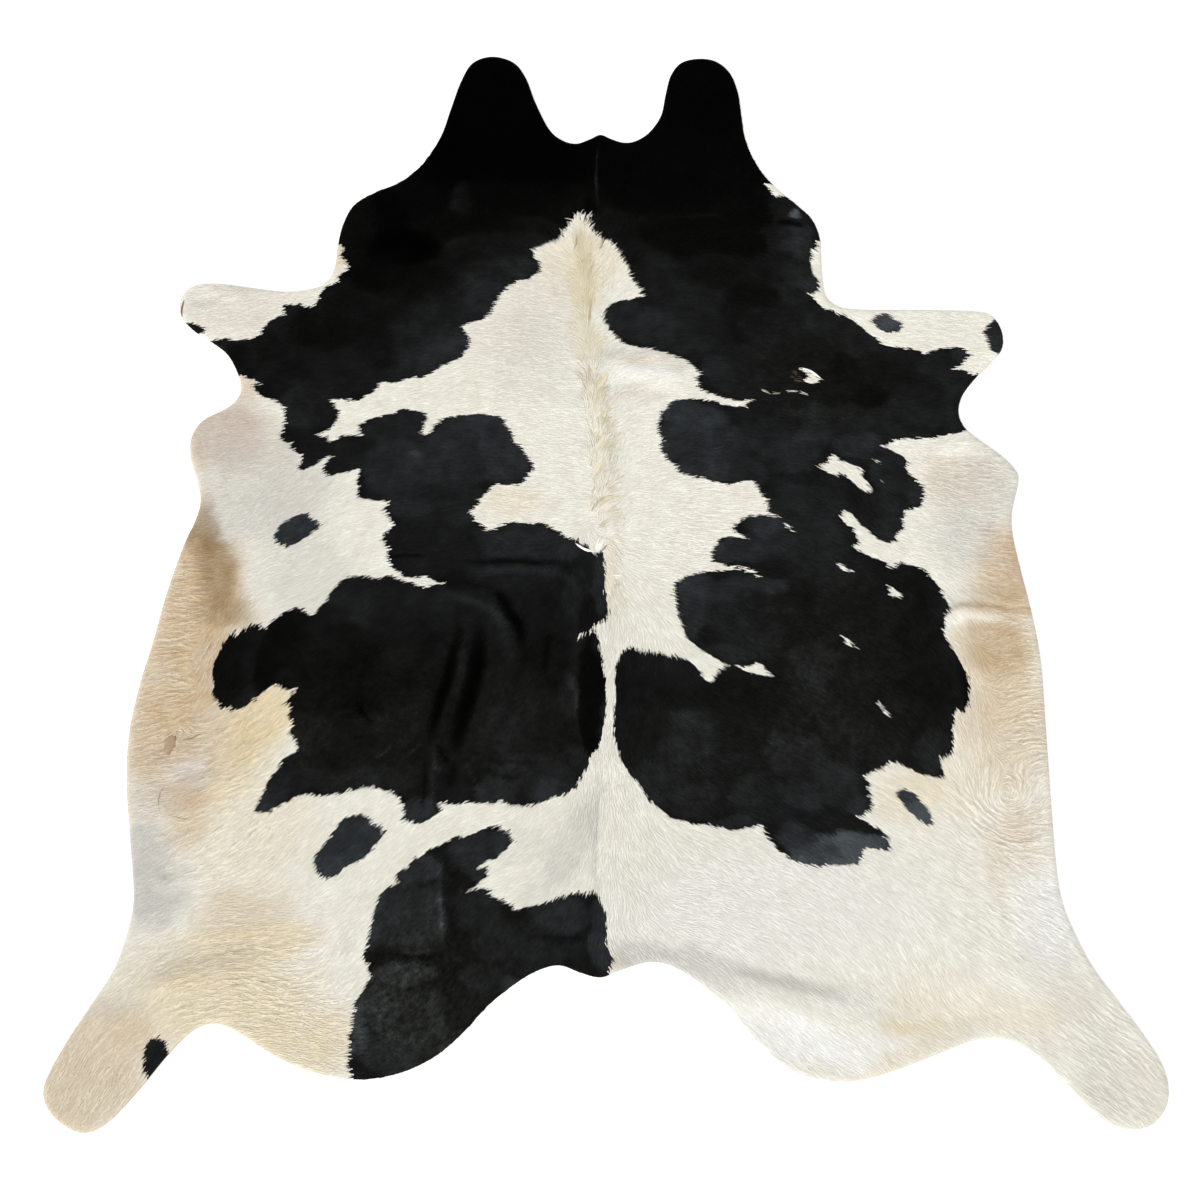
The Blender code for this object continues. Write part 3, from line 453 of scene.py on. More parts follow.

# How pale the black hair looks, by region. Each row is x, y, reach along x and y, and
# brightness: 0 is jet, 10 plain black, 20 slate and 30 blue grey. The pale, blue grey rows are
# partly the hair's own tone and partly painted sheen, as at the highlight by the right cheek
# and along the lower edge of the black patch over the right rump.
TONES: dict[str, tuple[tuple[float, float, float, float, float], ...]] = {
    "head": (
        (-250, 1010, 260, 200, 0.3), (230, 1060, 120, 130, 0.8), (170, 860, 210, 110, 1.3),
        (-120, 870, 120, 60, 0.3), (-330, 880, 90, 60, 0.3),
    ),
    "left neck": (
        (-200, 775, 130, 40, 1.8), (-400, 770, 60, 50, 1.8), (-310, 760, 30, 45, 8),
        (-545, 720, 50, 70, 4.2), (-480, 740, 50, 50, 0.8), (-450, 655, 90, 50, 0),
        (-350, 705, 60, 36, 3), (-250, 720, 80, 40, 2.6), (-235, 655, 70, 40, 7), (-145, 700, 50, 36, 6),
        (-150, 660, 40, 30, 9.6), (-540, 655, 40, 60, 4), (-300, 605, 70, 40, 6), (-215, 600, 70, 36, 12),
        (-70, 745, 60, 30, 4),
    ),
    "left shoulder": (
        (-480, 590, 90, 50, 2.2), (-400, 560, 70, 50, 4.2), (-330, 540, 50, 50, 6.5),
        (-270, 525, 50, 60, 12.5), (-560, 520, 70, 50, 6), (-450, 500, 70, 40, 6),
        (-350, 480, 60, 40, 9.5), (-295, 465, 50, 40, 12.5), (-600, 440, 60, 50, 4.4),
        (-520, 425, 70, 40, 4.8), (-420, 425, 70, 40, 10), (-330, 400, 60, 50, 14),
        (-620, 370, 90, 40, 7.6), (-700, 385, 50, 50, 6.6), (-755, 365, 40, 40, 5.4),
        (-500, 370, 70, 50, 7.6), (-385, 365, 70, 40, 14), (-450, 325, 50, 26, 11),
        (-560, 310, 50, 26, 8.6),
    ),
    "left elbow": (
        (-630, 250, 46, 44, 11), (-640, 185, 46, 26, 7.4), (-700, 300, 30, 22, 6.4),
        (-600, 150, 46, 36, 9.4), (-540, 130, 40, 30, 10.4),
    ),
    "left back": (
        (-430, 215, 60, 36, 12.4), (-275, 195, 70, 44, 15.4), (-205, 150, 46, 56, 17.4),
        (-255, 236, 60, 18, 18.4), (-430, 120, 56, 56, 14.4), (-330, 120, 70, 50, 13.4),
        (-385, 55, 50, 46, 12.4), (-300, 40, 46, 46, 11.6), (-350, -20, 50, 36, 8.8),
        (-420, -60, 36, 36, 9.4), (-300, -50, 60, 34, 8.8), (-180, -40, 70, 34, 13.2),
        (-95, -55, 50, 30, 14.4), (-30, -110, 26, 44, 10.4), (5, -130, 18, 60, 13.4),
        (-200, -120, 60, 20, 10), (-280, -130, 44, 20, 6.6), (-100, -190, 50, 50, 7.6),
        (-58, -165, 18, 56, 12.4), (-28, -200, 20, 30, 7), (-100, -300, 44, 70, 6),
    ),
    "left belly": (
        (-480, -165, 56, 46, 10.8), (-420, -185, 36, 46, 8.5), (-350, -175, 46, 36, 10.1),
        (-550, -235, 56, 50, 7.2), (-500, -285, 56, 50, 5.4), (-400, -250, 50, 50, 7.2),
        (-345, -300, 36, 56, 6.9), (-622, -250, 44, 50, 4.9), (-655, -300, 26, 56, 3.8),
        (-692, -285, 14, 56, 7.2), (-732, -310, 36, 66, 5.4), (-600, -330, 46, 24, 6),
        (-560, -375, 50, 36, 6.9), (-520, -330, 40, 30, 5.4), (-482, -380, 40, 26, 4.9),
        (-420, -350, 50, 44, 6.9), (-385, -430, 50, 40, 9.8), (-470, -445, 70, 30, 7.8),
        (-560, -440, 44, 46, 10.5), (-500, -497, 70, 22, 8.3), (-600, -522, 50, 36, 11),
        (-640, -570, 36, 26, 13.9), (-500, -530, 80, 24, 11), (-420, -540, 50, 24, 11),
        (-345, -592, 28, 26, 16.1),
    ),
    "loin": (
        (-180, -350, 50, 50, 8.7), (-180, -440, 50, 50, 10.5), (-130, -400, 44, 60, 9.4),
        (-60, -370, 18, 46, 10.5), (-16, -380, 20, 110, 3.1), (-40, -500, 36, 26, 11.6),
        (-85, -440, 36, 40, 8.3), (-120, -520, 60, 26, 11.6), (-200, -545, 36, 26, 13.9),
        (-270, -545, 40, 26, 8.3), (-85, -555, 46, 16, 15), (0, -255, 14, 30, 8.3),
        (-310, -400, 20, 60, 7.2), (-220, -300, 24, 60, 7.4),
    ),
    "right neck": (
        (55, 715, 50, 18, 5.6), (50, 688, 36, 24, 6.4), (120, 690, 50, 30, 3.4), (205, 700, 80, 22, 2.6),
        (200, 650, 80, 34, 2.8), (300, 655, 70, 36, 2.7), (80, 640, 28, 36, 7), (400, 675, 30, 50, 7.4),
        # (437, 735) is a painted highlight.
        (437, 735, 11, 12, 30), (408, 742, 36, 26, 8), (432, 690, 30, 22, 13.5), (430, 650, 30, 26, 14.5),
        (400, 605, 36, 36, 7), (440, 590, 30, 36, 12.5), (456, 560, 22, 22, 16.5), (430, 530, 36, 26, 10),
        (330, 740, 60, 40, 2.4),
    ),
    "right shoulder": (
        (130, 600, 50, 46, 9.6), (230, 595, 60, 46, 5.8), (330, 590, 60, 36, 6.2), (330, 525, 50, 36, 5),
        (130, 540, 50, 36, 9), (200, 520, 50, 46, 10.2), (50, 480, 36, 36, 12.2),
        (100, 450, 50, 36, 12.4), (160, 430, 46, 36, 11.2), (230, 450, 46, 46, 9.8),
        (300, 465, 46, 46, 6.4), (355, 450, 50, 50, 8.6), (430, 490, 40, 26, 8.4),
        (500, 470, 46, 36, 10.2), (560, 420, 50, 36, 10.2), (650, 380, 50, 26, 10),
        (720, 368, 46, 26, 11), (772, 385, 24, 18, 15), (450, 380, 50, 26, 8.2), (520, 360, 26, 34, 5.6),
        (575, 335, 46, 40, 7.4), (570, 283, 36, 24, 5.2), (640, 340, 46, 46, 7.6),
        (705, 280, 50, 44, 9.4), (650, 240, 60, 34, 10.4), (742, 240, 26, 26, 11),
        (760, 325, 36, 26, 10.4), (480, 300, 46, 36, 7.4), (460, 240, 36, 26, 12),
        (520, 230, 46, 36, 10.8), (540, 175, 46, 26, 14), (300, 380, 50, 26, 9.4), (250, 350, 26, 26, 12),
        (262, 320, 26, 20, 11.5), (335, 330, 36, 36, 9.4), (340, 240, 36, 26, 9), (390, 250, 36, 56, 9),
    ),
    "right back": (
        (170, 250, 36, 26, 18.5), (220, 230, 44, 26, 16.5), (150, 180, 26, 36, 16.5),
        (220, 170, 50, 44, 15.5), (270, 180, 36, 36, 13.5), (220, 118, 50, 24, 15.5),
        (300, 110, 36, 26, 13.5), (330, 190, 36, 44, 11.8), (400, 165, 46, 46, 13.2),
        (450, 200, 30, 30, 14), (430, 98, 36, 18, 8.2), (400, 50, 50, 46, 11.8), (470, 60, 36, 46, 10.8),
        (540, 60, 26, 36, 7.6), (610, 110, 36, 46, 11.6), (650, 70, 22, 26, 14.6), (600, 0, 36, 46, 12.6),
        (560, 30, 26, 36, 9.8),
    ),
    "right loin": (
        (340, -10, 44, 24, 15.5), (300, -60, 44, 24, 14.5), (258, -68, 26, 18, 16.5),
        (380, -60, 44, 36, 11.8), (450, -40, 44, 46, 12), (430, -112, 44, 34, 9.6),
        (360, -98, 36, 22, 8.4), (340, -140, 34, 16, 14.5), (405, -160, 26, 36, 8),
        (188, -140, 34, 26, 17.5), (250, -150, 44, 24, 14.5), (188, -200, 26, 44, 14.5),
        (262, -200, 50, 34, 11.2), (230, -242, 26, 20, 7.4), (282, -240, 50, 26, 9.8),
        (260, -286, 46, 16, 12.6), (330, -270, 26, 26, 11.6), (350, -200, 50, 44, 9.8),
        (500, -115, 50, 34, 10.8), (570, -105, 26, 26, 8), (640, -130, 46, 26, 7.4),
        (662, -165, 26, 26, 6.4), (560, -175, 50, 34, 8), (480, -205, 50, 56, 9.4),
        (640, -250, 46, 50, 6.6), (600, -330, 40, 40, 7.4), (655, -335, 46, 60, 7),
        (722, -345, 12, 50, 5.6), (560, -385, 44, 44, 9.4), (500, -335, 50, 44, 9.2),
        (430, -315, 56, 50, 11.8), (390, -400, 50, 44, 9.8), (600, -430, 50, 34, 7.8),
        (640, -470, 26, 36, 12.6), (560, -460, 44, 34, 10.2), (480, -445, 50, 44, 11.4),
    ),
    "right rump": (
        (60, -340, 26, 50, 7.8), (50, -440, 26, 56, 9.2), (100, -400, 36, 50, 8.6),
        (110, -310, 44, 26, 10.2), (180, -312, 36, 26, 9.8), (160, -360, 44, 34, 8.8),
        (230, -360, 44, 26, 7.4), (300, -350, 44, 34, 7.4), (330, -392, 50, 26, 7.8),
        (280, -440, 50, 44, 9.2), (170, -450, 50, 44, 13.4), (380, -480, 50, 44, 13),
        (250, -520, 50, 34, 10.2), (120, -530, 44, 34, 12.2), (180, -572, 44, 26, 12.8),
        (230, -582, 34, 16, 8.8), (300, -560, 44, 34, 11.8), (380, -560, 36, 26, 14.6),
        (450, -540, 46, 34, 13.2), (500, -580, 26, 18, 14.8), (430, -602, 50, 16, 9.2),
        # The rows of 25 and more from (410, -664) on are painted sheen along the patch's lower edge.
        (330, -600, 36, 16, 10.8), (250, -612, 40, 12, 13.8), (410, -664, 50, 24, 25),
        (480, -660, 36, 22, 27.5), (370, -640, 30, 24, 15), (430, -689, 60, 12, 28),
        (530, -655, 20, 14, 25),
    ),
    "rump": (
        (-350, -700, 36, 26, 17.2), (-380, -780, 36, 46, 16.2), (-330, -800, 36, 50, 15.6),
        (-425, -800, 18, 36, 17.4), (-240, -670, 44, 34, 15.6), (-190, -650, 26, 22, 16.8),
        (-225, -715, 22, 14, 15.2), (-230, -780, 36, 34, 13.2), (-150, -822, 44, 26, 12.4),
        (-200, -832, 34, 26, 12.6), (-80, -790, 46, 26, 15.2), (-100, -850, 60, 16, 11.8),
        (0, -850, 22, 36, 17.5), (0, -790, 18, 26, 17.2), (-140, -872, 34, 14, 9.8),
        (-370, -892, 56, 16, 18), (-400, -960, 36, 50, 17.6), (-440, -992, 13, 40, 26),
        (-330, -970, 50, 44, 15.6), (-250, -950, 26, 36, 10.4), (-220, -900, 36, 26, 12.2),
        (-170, -906, 18, 12, 17.4), (-380, -1030, 50, 34, 16.8), (-300, -1010, 44, 26, 15),
    ),
    "islands": (
        (-622, -16, 60, 50, 18), (-478, -660, 80, 80, 19), (-800, -1040, 50, 60, 11),
        (860, 430, 50, 60, 15), (622, 461, 50, 40, 23.8), (620, -604, 30, 24, 29),
        (584, -566, 26, 18, 21), (-390, 151, 22, 7, 24), (-880, 450, 40, 24, 8),
    ),
}
# The tone of black hair that no row reaches, and how little it counts elsewhere.
TONE_ELSEWHERE = 9.0
TONE_ELSEWHERE_WEIGHT = 0.03
# Strokes of light and shade where the black hair turns to or from the light: name,
# change, half width, lean and path. A change of 0.7 doubles the brightness.
GLEAMS: tuple[tuple[str, float, float, float, tuple[Point, ...]], ...] = (
    ("pleat left trough", -1.9, 17, 0,
     ((-282, -205), (-289, -270), (-300, -330), (-315, -380), (-328, -430), (-340, -482))),
    ("pleat right trough", -1.9, 24, 0,
     ((-244, -196), (-240, -260), (-246, -320), (-256, -370), (-270, -420), (-282, -485), (-272, -512))),
    ("pleat crest", 0.15, 9, 0, ((-262, -205), (-266, -280), (-277, -350), (-290, -400), (-306, -455))),
    ("arch crest", 0.45, 15, 0,
     ((-332, -158), (-280, -167), (-245, -179), (-215, -196), (-195, -225), (-178, -272))),
    ("arch trough", -1.5, 19, 0, ((-216, -134), (-196, -172), (-178, -205), (-160, -235), (-158, -276))),
    ("withers line", -0.6, 9, 0, ((-312, -88), (-240, -88), (-180, -86), (-120, -90), (-36, -88))),
    ("withers band", 0.42, 15, 0,
     ((-300, -107), (-220, -106), (-150, -104), (-92, -109), (-60, -132), (-44, -186))),
    ("back line", -0.6, 7, 0, ((-452, -76), (-400, -74), (-340, -76))),
    ("loin hollow", -0.7, 11, 0, ((-104, -228), (-108, -280), (-113, -332))),
    ("loin rim light", 0.45, 11, 0, ((-64, -318), (-46, -370), (-40, -424))),
    ("short pleat dark", -1.1, 7, 0, ((-320, -464), (-305, -490), (-286, -509))),
    ("short pleat light", 0.5, 6, 0, ((-323, -474), (-319, -508), (-296, -524))),
    ("tail strip dark", -0.7, 8, 0, ((-341, -484), (-338, -540), (-340, -600))),
    ("tail strip light", 0.35, 8, 0, ((-326, -500), (-322, -540), (-322, -590))),
    ("lower pleat dark", -0.5, 18, 0, ((-282, -494), (-285, -530), (-291, -568))),
    ("belly hollow", -1.2, 9, 0, ((-486, -374), (-460, -405), (-436, -430))),
    ("belly light", 0.5, 6, 0, ((-524, -407), (-500, -399), (-478, -396))),
    ("belly streak", 0.5, 6, 0, ((-440, -496), (-420, -480), (-400, -462))),
    ("belly second streak", 0.45, 6, 0, ((-378, -490), (-362, -474), (-346, -460))),
    ("fan first", 0.5, 6, 0, ((-264, -496), (-244, -536), (-224, -570))),
    ("fan second", 0.4, 8, 0, ((-244, -492), (-200, -509), (-160, -512), (-116, -538))),
    ("fan dark", -0.5, 7, 0, ((-236, -508), (-196, -528), (-150, -534))),
    ("rump dark", -0.04, 24, 0, ((-286, -640), (-279, -700), (-272, -750), (-266, -800), (-262, -852))),
    ("rump lit edge", 0.5, 10, 0, ((-304, -650), (-303, -720), (-299, -770), (-292, -820), (-278, -858))),
    ("rump shadow line", -0.22, 6, 0, ((-440, -858), (-400, -856), (-340, -862), (-280, -869))),
    ("rump short light", 0.4, 6, 0, ((-296, -876), (-270, -868), (-244, -860))),
    ("tail shadow", -0.35, 10, 0, ((-140, -826), (-90, -826), (-40, -830), (0, -850))),
    ("cheek line", -1.3, 11, 0, ((386, 709), (420, 709), (462, 703))),
    ("cheek light", 0.7, 10, 0, ((416, 720), (436, 738), (448, 760))),
    ("nape line", 1.9, 6, 0, ((-4, 950), (-8, 850), (-6, 745))),
    ("nape dark", -0.9, 16, 0, ((-30, 790), (-26, 760), (-22, 735))),
)

# The lie of the hair, from root to tip: x, y, and degrees left of the right side.
NAP: tuple[tuple[float, float, float], ...] = (
    # left cheek, neck and shoulder
    (-250, 1010, 255), (-310, 770, 225), (-350, 620, 205), (-440, 690, 200), (-310, 530, 205),
    (-150, 850, 235), (-60, 850, 262), (-500, 520, 200),
    # left foreleg, elbow and back
    (-760, 510, 187), (-840, 460, 190), (-650, 440, 200), (-500, 350, 192), (-430, 320, 188),
    (-570, 280, 190), (-780, 210, 188), (-630, 210, 195), (-770, 110, 195), (-680, 50, 214),
    (-560, 30, 210), (-370, 50, 194),
    # left of the spine, where the hair lies outwards and a little forwards
    (-90, 520, 176), (-170, 440, 178), (-170, 280, 178), (-260, 370, 184), (-340, 280, 190),
    (-80, 690, 128), (-90, 620, 170), (-66, 560, 166), (-58, 480, 170), (-58, 400, 174), (-52, 320, 172),
    (-48, 240, 170), (-46, 160, 172), (-46, 80, 176), (-100, 100, 178), (-44, 20, 184), (-170, 110, 178),
    (-80, 30, 184), (-200, -40, 180), (-370, -50, 190),
    # along the spine, forwards at the neck and backwards over the loin
    (-38, 730, 90), (-38, 670, 90), (8, -60, -60), (8, -140, -88), (10, -240, -90), (14, -330, -90),
    (14, -420, -90), (6, -530, -92), (0, -640, -92), (0, -760, -92),
    # right of the spine
    (0, 690, 62), (30, 640, 32), (60, 560, 14), (90, 490, 8), (8, 600, 54), (14, 540, 44), (8, 470, 46),
    (40, 450, 9), (12, 400, 46), (44, 380, 10), (90, 350, 4), (22, 330, 40), (60, 320, 14), (34, 270, 44),
    (74, 260, 14), (110, 250, 6), (36, 190, 46), (80, 180, 12), (38, 120, 44), (80, 110, 10),
    (38, 50, 38), (80, 40, 8), (34, 0, 26), (60, -60, -10), (120, -80, -12), (60, -150, -40),
    (210, 350, -4), (190, 280, 8), (320, 370, -12), (490, 280, -12), (340, 210, -8), (210, 50, 3),
    (250, -40, 0), (450, -80, -28),
    # right neck, foreleg and elbow
    (320, 1010, -75), (310, 720, -14), (220, 670, -18), (190, 440, -6), (130, 850, -60), (400, 750, -22),
    (440, 600, -35), (540, 470, -28), (640, 320, -8), (710, 420, -8), (820, 470, -3), (760, 210, 4),
    (560, 70, -44), (680, 50, -12), (790, 70, -6), (820, 0, 6), (690, -60, -20),
    # right flank, where the hair comes down and turns out
    (810, -80, 0), (750, -150, -40), (745, -215, -70), (800, -190, -6), (850, -200, 6), (790, -250, 40),
    (815, -250, 18), (850, -250, 6), (790, -330, 44), (820, -330, 16), (855, -330, 2), (748, -300, -86),
    (748, -380, -86), (796, -410, 40), (825, -410, 14), (856, -420, -4), (745, -450, -84),
    (800, -480, 34), (830, -490, 10), (856, -500, -4), (738, -520, -76), (700, -460, -62),
    (850, -580, 10), (650, -570, -38), (700, -620, -44), (760, -650, -22), (810, -650, 4),
    (850, -640, 14), (830, -700, -14), (760, -700, -30), (610, -690, -35), (560, -170, -32),
    (510, -340, -36), (320, -270, -28), (230, -420, -22), (390, -480, -30), (660, -250, -50),
    # right thigh, rump and hind leg
    (480, -630, -30), (300, -650, -25), (170, -590, -28), (770, -760, -28), (670, -800, -40),
    (470, -800, -40), (300, -760, -22), (170, -760, -10), (80, -710, -50), (280, -920, -38),
    (460, -870, -44), (550, -870, -58), (610, -900, -62), (740, -870, -36), (850, -870, -30),
    (910, -960, -36), (990, -1040, -40), (60, -560, -58), (80, -850, -40), (400, -1010, -34),
    (620, -990, -24),
    # left loin and flank
    (-510, -80, 212), (-610, -150, 208), (-830, 50, 190), (-870, -20, 190), (-805, -90, 184),
    (-890, -150, 198), (-850, -150, 182), (-812, -170, 170), (-900, -250, 202), (-860, -250, 184),
    (-818, -255, 168), (-905, -340, 204), (-862, -340, 188), (-820, -345, 170), (-756, -190, 250),
    (-772, -260, 262), (-778, -330, 260), (-790, -390, 222), (-880, -420, 194), (-900, -480, 190),
    (-846, -420, 180), (-790, -440, 196), (-780, -490, 194), (-740, -460, 210), (-700, -430, 224),
    (-850, -520, 186), (-740, -520, 204), (-600, -480, 222), (-780, -570, 206), (-870, -570, 198),
    (-690, -610, 218), (-570, -690, 224), (-850, -670, 216), (-500, -270, 212), (-390, -380, 206),
    (-480, -500, 218), (-310, -420, 236), (-160, -460, 212), (-80, -270, 214), (-20, -340, 252),
    (-100, -550, 224), (-230, -630, 206), (-660, -300, 222),
    # left thigh, rump and hind leg
    (-380, -720, 226), (-290, -940, 238), (-150, -740, 205), (-30, -760, 240), (-475, -850, 232),
    (-560, -830, 186), (-670, -800, 182), (-610, -920, 170), (-520, -990, 168), (-750, -760, 203),
    (-820, -800, 208), (-920, -890, 222), (-980, -1040, 242), (-880, -1080, 236), (-830, -980, 224),
    (-720, -930, 192), (-60, -660, 232),
)
# Whorls turn the lie round a centre: name, x, y, reach and strength, anticlockwise.
WHORLS: tuple[tuple[str, float, float, float, float], ...] = (
    ("right flank whorl", 781, -562, 56, 2.4),
    ("left flank curl", -812, -436, 30, 1.2),
    ("withers crown", 8, -6, 40, 0.7),
)
# Where hair lies in stronger waves: name, x, y, reach along x and y, strength.
RIPPLES: tuple[tuple[str, float, float, float, float, float], ...] = (
    ("left flank", -850, -300, 74, 240, 1.0),
    ("left belly", -720, -470, 120, 120, 0.85),
    ("left thigh", -700, -640, 130, 100, 0.60),
    ("left leg", -640, -900, 210, 100, 0.60),
    ("left shin", -820, -920, 90, 80, 0.40),
    ("left foot", -910, -1060, 100, 100, 0.45),
    ("left waist", -640, 20, 110, 110, 0.20),
    ("right waist", 810, -60, 50, 90, 0.45),
    ("right flank", 840, -370, 66, 180, 0.80),
    ("right whorl", 785, -590, 100, 110, 0.66),
    ("right thigh", 790, -800, 90, 100, 0.30),
    ("right foot", 930, -1040, 90, 110, 0.35),
    ("right shoulder", 760, 110, 90, 80, 0.30),
    ("left back", -180, 400, 110, 230, 0.10),
    ("right loin", 190, -30, 130, 110, 0.22),
    ("right foreleg", 720, 460, 120, 50, 0.16),
    ("left foreleg", -780, 490, 110, 60, 0.12),
    ("rump", -300, -950, 150, 120, 0.45),
)
# Long hair along the spine: y, x, half width, degrees of its lie, and length.
SPINE: tuple[tuple[float, float, float, float, float], ...] = (
    (722, -40, 15, 92, 26),
    (640, -40, 19, 91, 30),
    (540, -34, 18, 90, 32),
    (430, -27, 16, 89, 32),
    (350, -21, 15, 84, 34),
    (290, -16, 17, 68, 37),
    (230, -9, 20, 60, 38),
    (150, -3, 24, 53, 38),
    (60, 2, 22, 46, 36),
    (0, 8, 20, 32, 32),
    (-60, 16, 13, -40, 28),
    (-150, 16, 8, -80, 24),
)

# Single wisps of hair: name, tint and its strength, shade (below 0 for hair in a
# shadow), number of hairs, their spread and width, and their path from root to tip.
WISPS: tuple[tuple[str, Tint, float, float, int, float, float, tuple[Point, ...]], ...] = (
    ("chest tip left", Tint.CREAM, 0.2, 0.4, 3, 7, 1.7, ((-54, 700), (-57, 720), (-60, 736))),
    ("chest tip", Tint.CREAM, 0.2, 0.6, 4, 7, 1.8, ((-50, 704), (-49, 726), (-52, 745))),
    ("chest tip curl", Tint.CREAM, 0.1, 0.5, 2, 2, 1.6, ((-49, 712), (-45, 730), (-40, 744), (-34, 747))),
    ("chest tip right", Tint.CREAM, 0.2, 0.4, 3, 8, 1.6, ((-42, 694), (-36, 710), (-28, 720))),
    ("chest left fringe", Tint.CREAM, 0.1, 0.4, 3, 24, 1.6, ((-78, 680), (-84, 690), (-90, 699))),
    ("chest right fringe", Tint.CREAM, 0.1, 0.4, 4, 24, 1.8, ((-14, 672), (-4, 682), (6, 690))),
    ("chest notch", Tint.BROWN, 0.5, -2, 3, 4, 2.4, ((-2, 640), (4, 656), (5, 672))),
    ("neck part first", Tint.STRAW, 0.7, -1.6, 4, 8, 2.4, ((-30, 560), (-24, 590), (-14, 612))),
    ("neck part second", Tint.BROWN, 0.45, -1.2, 4, 7, 2.4, ((-58, 640), (-54, 660), (-52, 684))),
    ("neck part third", Tint.STRAW, 0.8, -1.8, 5, 8, 2.6, ((-22, 450), (-22, 490), (-18, 530))),
    ("withers streak", Tint.BROWN, 0.4, -1.2, 4, 5, 2.4, ((-25, 310), (-24, 335), (-22, 366))),
    ("withers first tuft", Tint.CREAM, 0.6, 0.6, 7, 16, 2.8, ((-8, 296), (6, 322), (18, 344))),
    ("withers second tuft", Tint.CREAM, 0.6, 0.5, 6, 12, 2.6, ((-6, 226), (6, 248), (24, 262))),
    ("withers shade", Tint.STRAW, 0.6, -0.5, 4, 8, 2.2, ((0, 206), (10, 226), (26, 242))),
    ("withers third tuft", Tint.CREAM, 0.5, 0.6, 8, 16, 2.6, ((-12, 150), (2, 176), (12, 204))),
    ("withers low shade", Tint.STRAW, 0.6, -0.5, 4, 8, 2.2, ((-8, 84), (4, 104), (22, 118))),
    ("withers low tuft", Tint.CREAM, 0.5, 0.6, 8, 16, 2.6, ((-16, 104), (-2, 128), (16, 144))),
    ("crown shade", Tint.STRAW, 0.9, -1.1, 5, 8, 1.9,
     ((-18, 22), (-12, 36), (2, 50), (14, 57), (27, 59))),
    ("crown tuft", Tint.CREAM, 0.3, 0.9, 9, 16, 3, ((-12, 2), (0, 24), (18, 40), (38, 46))),
    ("crown left tuft", Tint.CREAM, 0.4, 0.6, 7, 12, 2.8, ((-10, 62), (-22, 44), (-26, 24))),
    ("crown second shade", Tint.STRAW, 0.7, -0.7, 5, 9, 1.8, ((-4, -18), (8, -4), (26, 8))),
    ("loin corner tuft", Tint.SNOW, 0.5, 1.4, 10, 18, 3.4, ((10, -30), (0, -46), (-8, -72))),
    ("loin corner shade", Tint.BROWN, 0.6, -3, 3, 3, 2.6, ((2, -66), (9, -58), (19, -45))),
    ("loin corner comma", Tint.SNOW, 0.6, 1.6, 4, 3.5, 3.2, ((-14, -66), (-32, -60), (-52, -47))),
    ("loin side shade", Tint.TAN, 0.5, -0.8, 4, 6, 2.6, ((16, -150), (26, -140), (46, -134))),
    ("loin side tuft", Tint.SNOW, 0.4, 0.7, 7, 14, 2.6, ((18, -126), (32, -120), (50, -118))),
    ("shoulder hole brown", Tint.BROWN, 1, -11, 5, 26, 0.7, ((402, 342), (412, 336), (420, 331))),
    ("shoulder hole under", Tint.BROWN, 1, -10.5, 5, 22, 0.7, ((412, 330), (424, 325), (434, 322))),
    ("shoulder hole light", Tint.SNOW, 0.5, 1.4, 5, 5, 2.6, ((428, 352), (446, 346), (472, 324))),
    ("shoulder hole foot", Tint.SNOW, 0.3, 0.6, 4, 6, 2, ((430, 324), (446, 320), (462, 316))),
    ("shoulder first fleck", Tint.SNOW, 0.3, -1.5, 3, 7, 0.9, ((341, 303), (352, 297), (364, 291))),
    ("shoulder second fleck", Tint.TAN, 0.5, -5, 3, 6, 0.8, ((362, 294), (374, 292), (388, 294))),
    ("shoulder third fleck", Tint.SNOW, 0.3, -0.5, 4, 7, 0.9, ((392, 298), (406, 298), (422, 296))),
    ("shoulder fourth fleck", Tint.SNOW, 0.3, -1, 4, 7, 0.9, ((420, 297), (432, 292), (445, 286))),
    ("teat curl", Tint.CREAM, 0.4, 0.6, 4, 5, 2.2, ((-824, -436), (-815, -436), (-811, -446))),
    ("teat line", Tint.BROWN, 0.8, -2, 3, 3, 2.2,
     ((-815, -456), (-803, -454), (-793, -452), (-782, -445), (-771, -435))),
    ("second teat side", Tint.TAN, 0.9, -1.7, 2, 2, 2,
     ((-832, -538), (-842, -552), (-846, -571), (-843, -588), (-837, -600))),
    ("second teat foot", Tint.TAN, 0.9, -1.5, 2, 3, 2,
     ((-836, -598), (-816, -602), (-790, -609), (-766, -600))),
    ("left wrist rim", Tint.BROWN, 1, -5, 6, 4, 2, ((-905, 470), (-908, 492), (-904, 520))),
)


def linear(display: float) -> float:
    """Linear light of a display value from 0 to 1."""
    return display / 12.92 if display <= 0.04045 else ((display + 0.055) / 1.055) ** 2.4


def hue(red: float, green: float, blue: float) -> tuple[float, float, float, float]:
    """A display colour as the linear values that a shader takes."""
    return linear(red), linear(green), linear(blue), 1.0


def smooth_step(share: Array) -> Array:
    """Eases values so that they leave 0 and reach 1 gently."""
    held = np.clip(share, 0.0, 1.0)
    return held * held * (3.0 - 2.0 * held)


def unit(ways: Array) -> Array:
    """Directions brought to a length of 1."""
    return ways / np.linalg.norm(ways, axis=1)[:, None]


def left_of(ways: Array) -> Array:
    """Directions a quarter turn to the left of others."""
    return np.stack([-ways[:, 1], ways[:, 0]], 1)


def turned(ways: Array, angle: Array | float) -> Array:
    """Directions turned to the left by an angle in radians."""
    x, y = ways.T
    return np.stack([x * np.cos(angle) - y * np.sin(angle), x * np.sin(angle) + y * np.cos(angle)], 1)


def in_reach(places: Array, line: Array, reach: float) -> Array:
    """Numbers of the places that are less than reach outside a line's box."""
    low, high = line.min(0) - reach, line.max(0) + reach
    return np.flatnonzero(((places > low) & (places < high)).all(1))


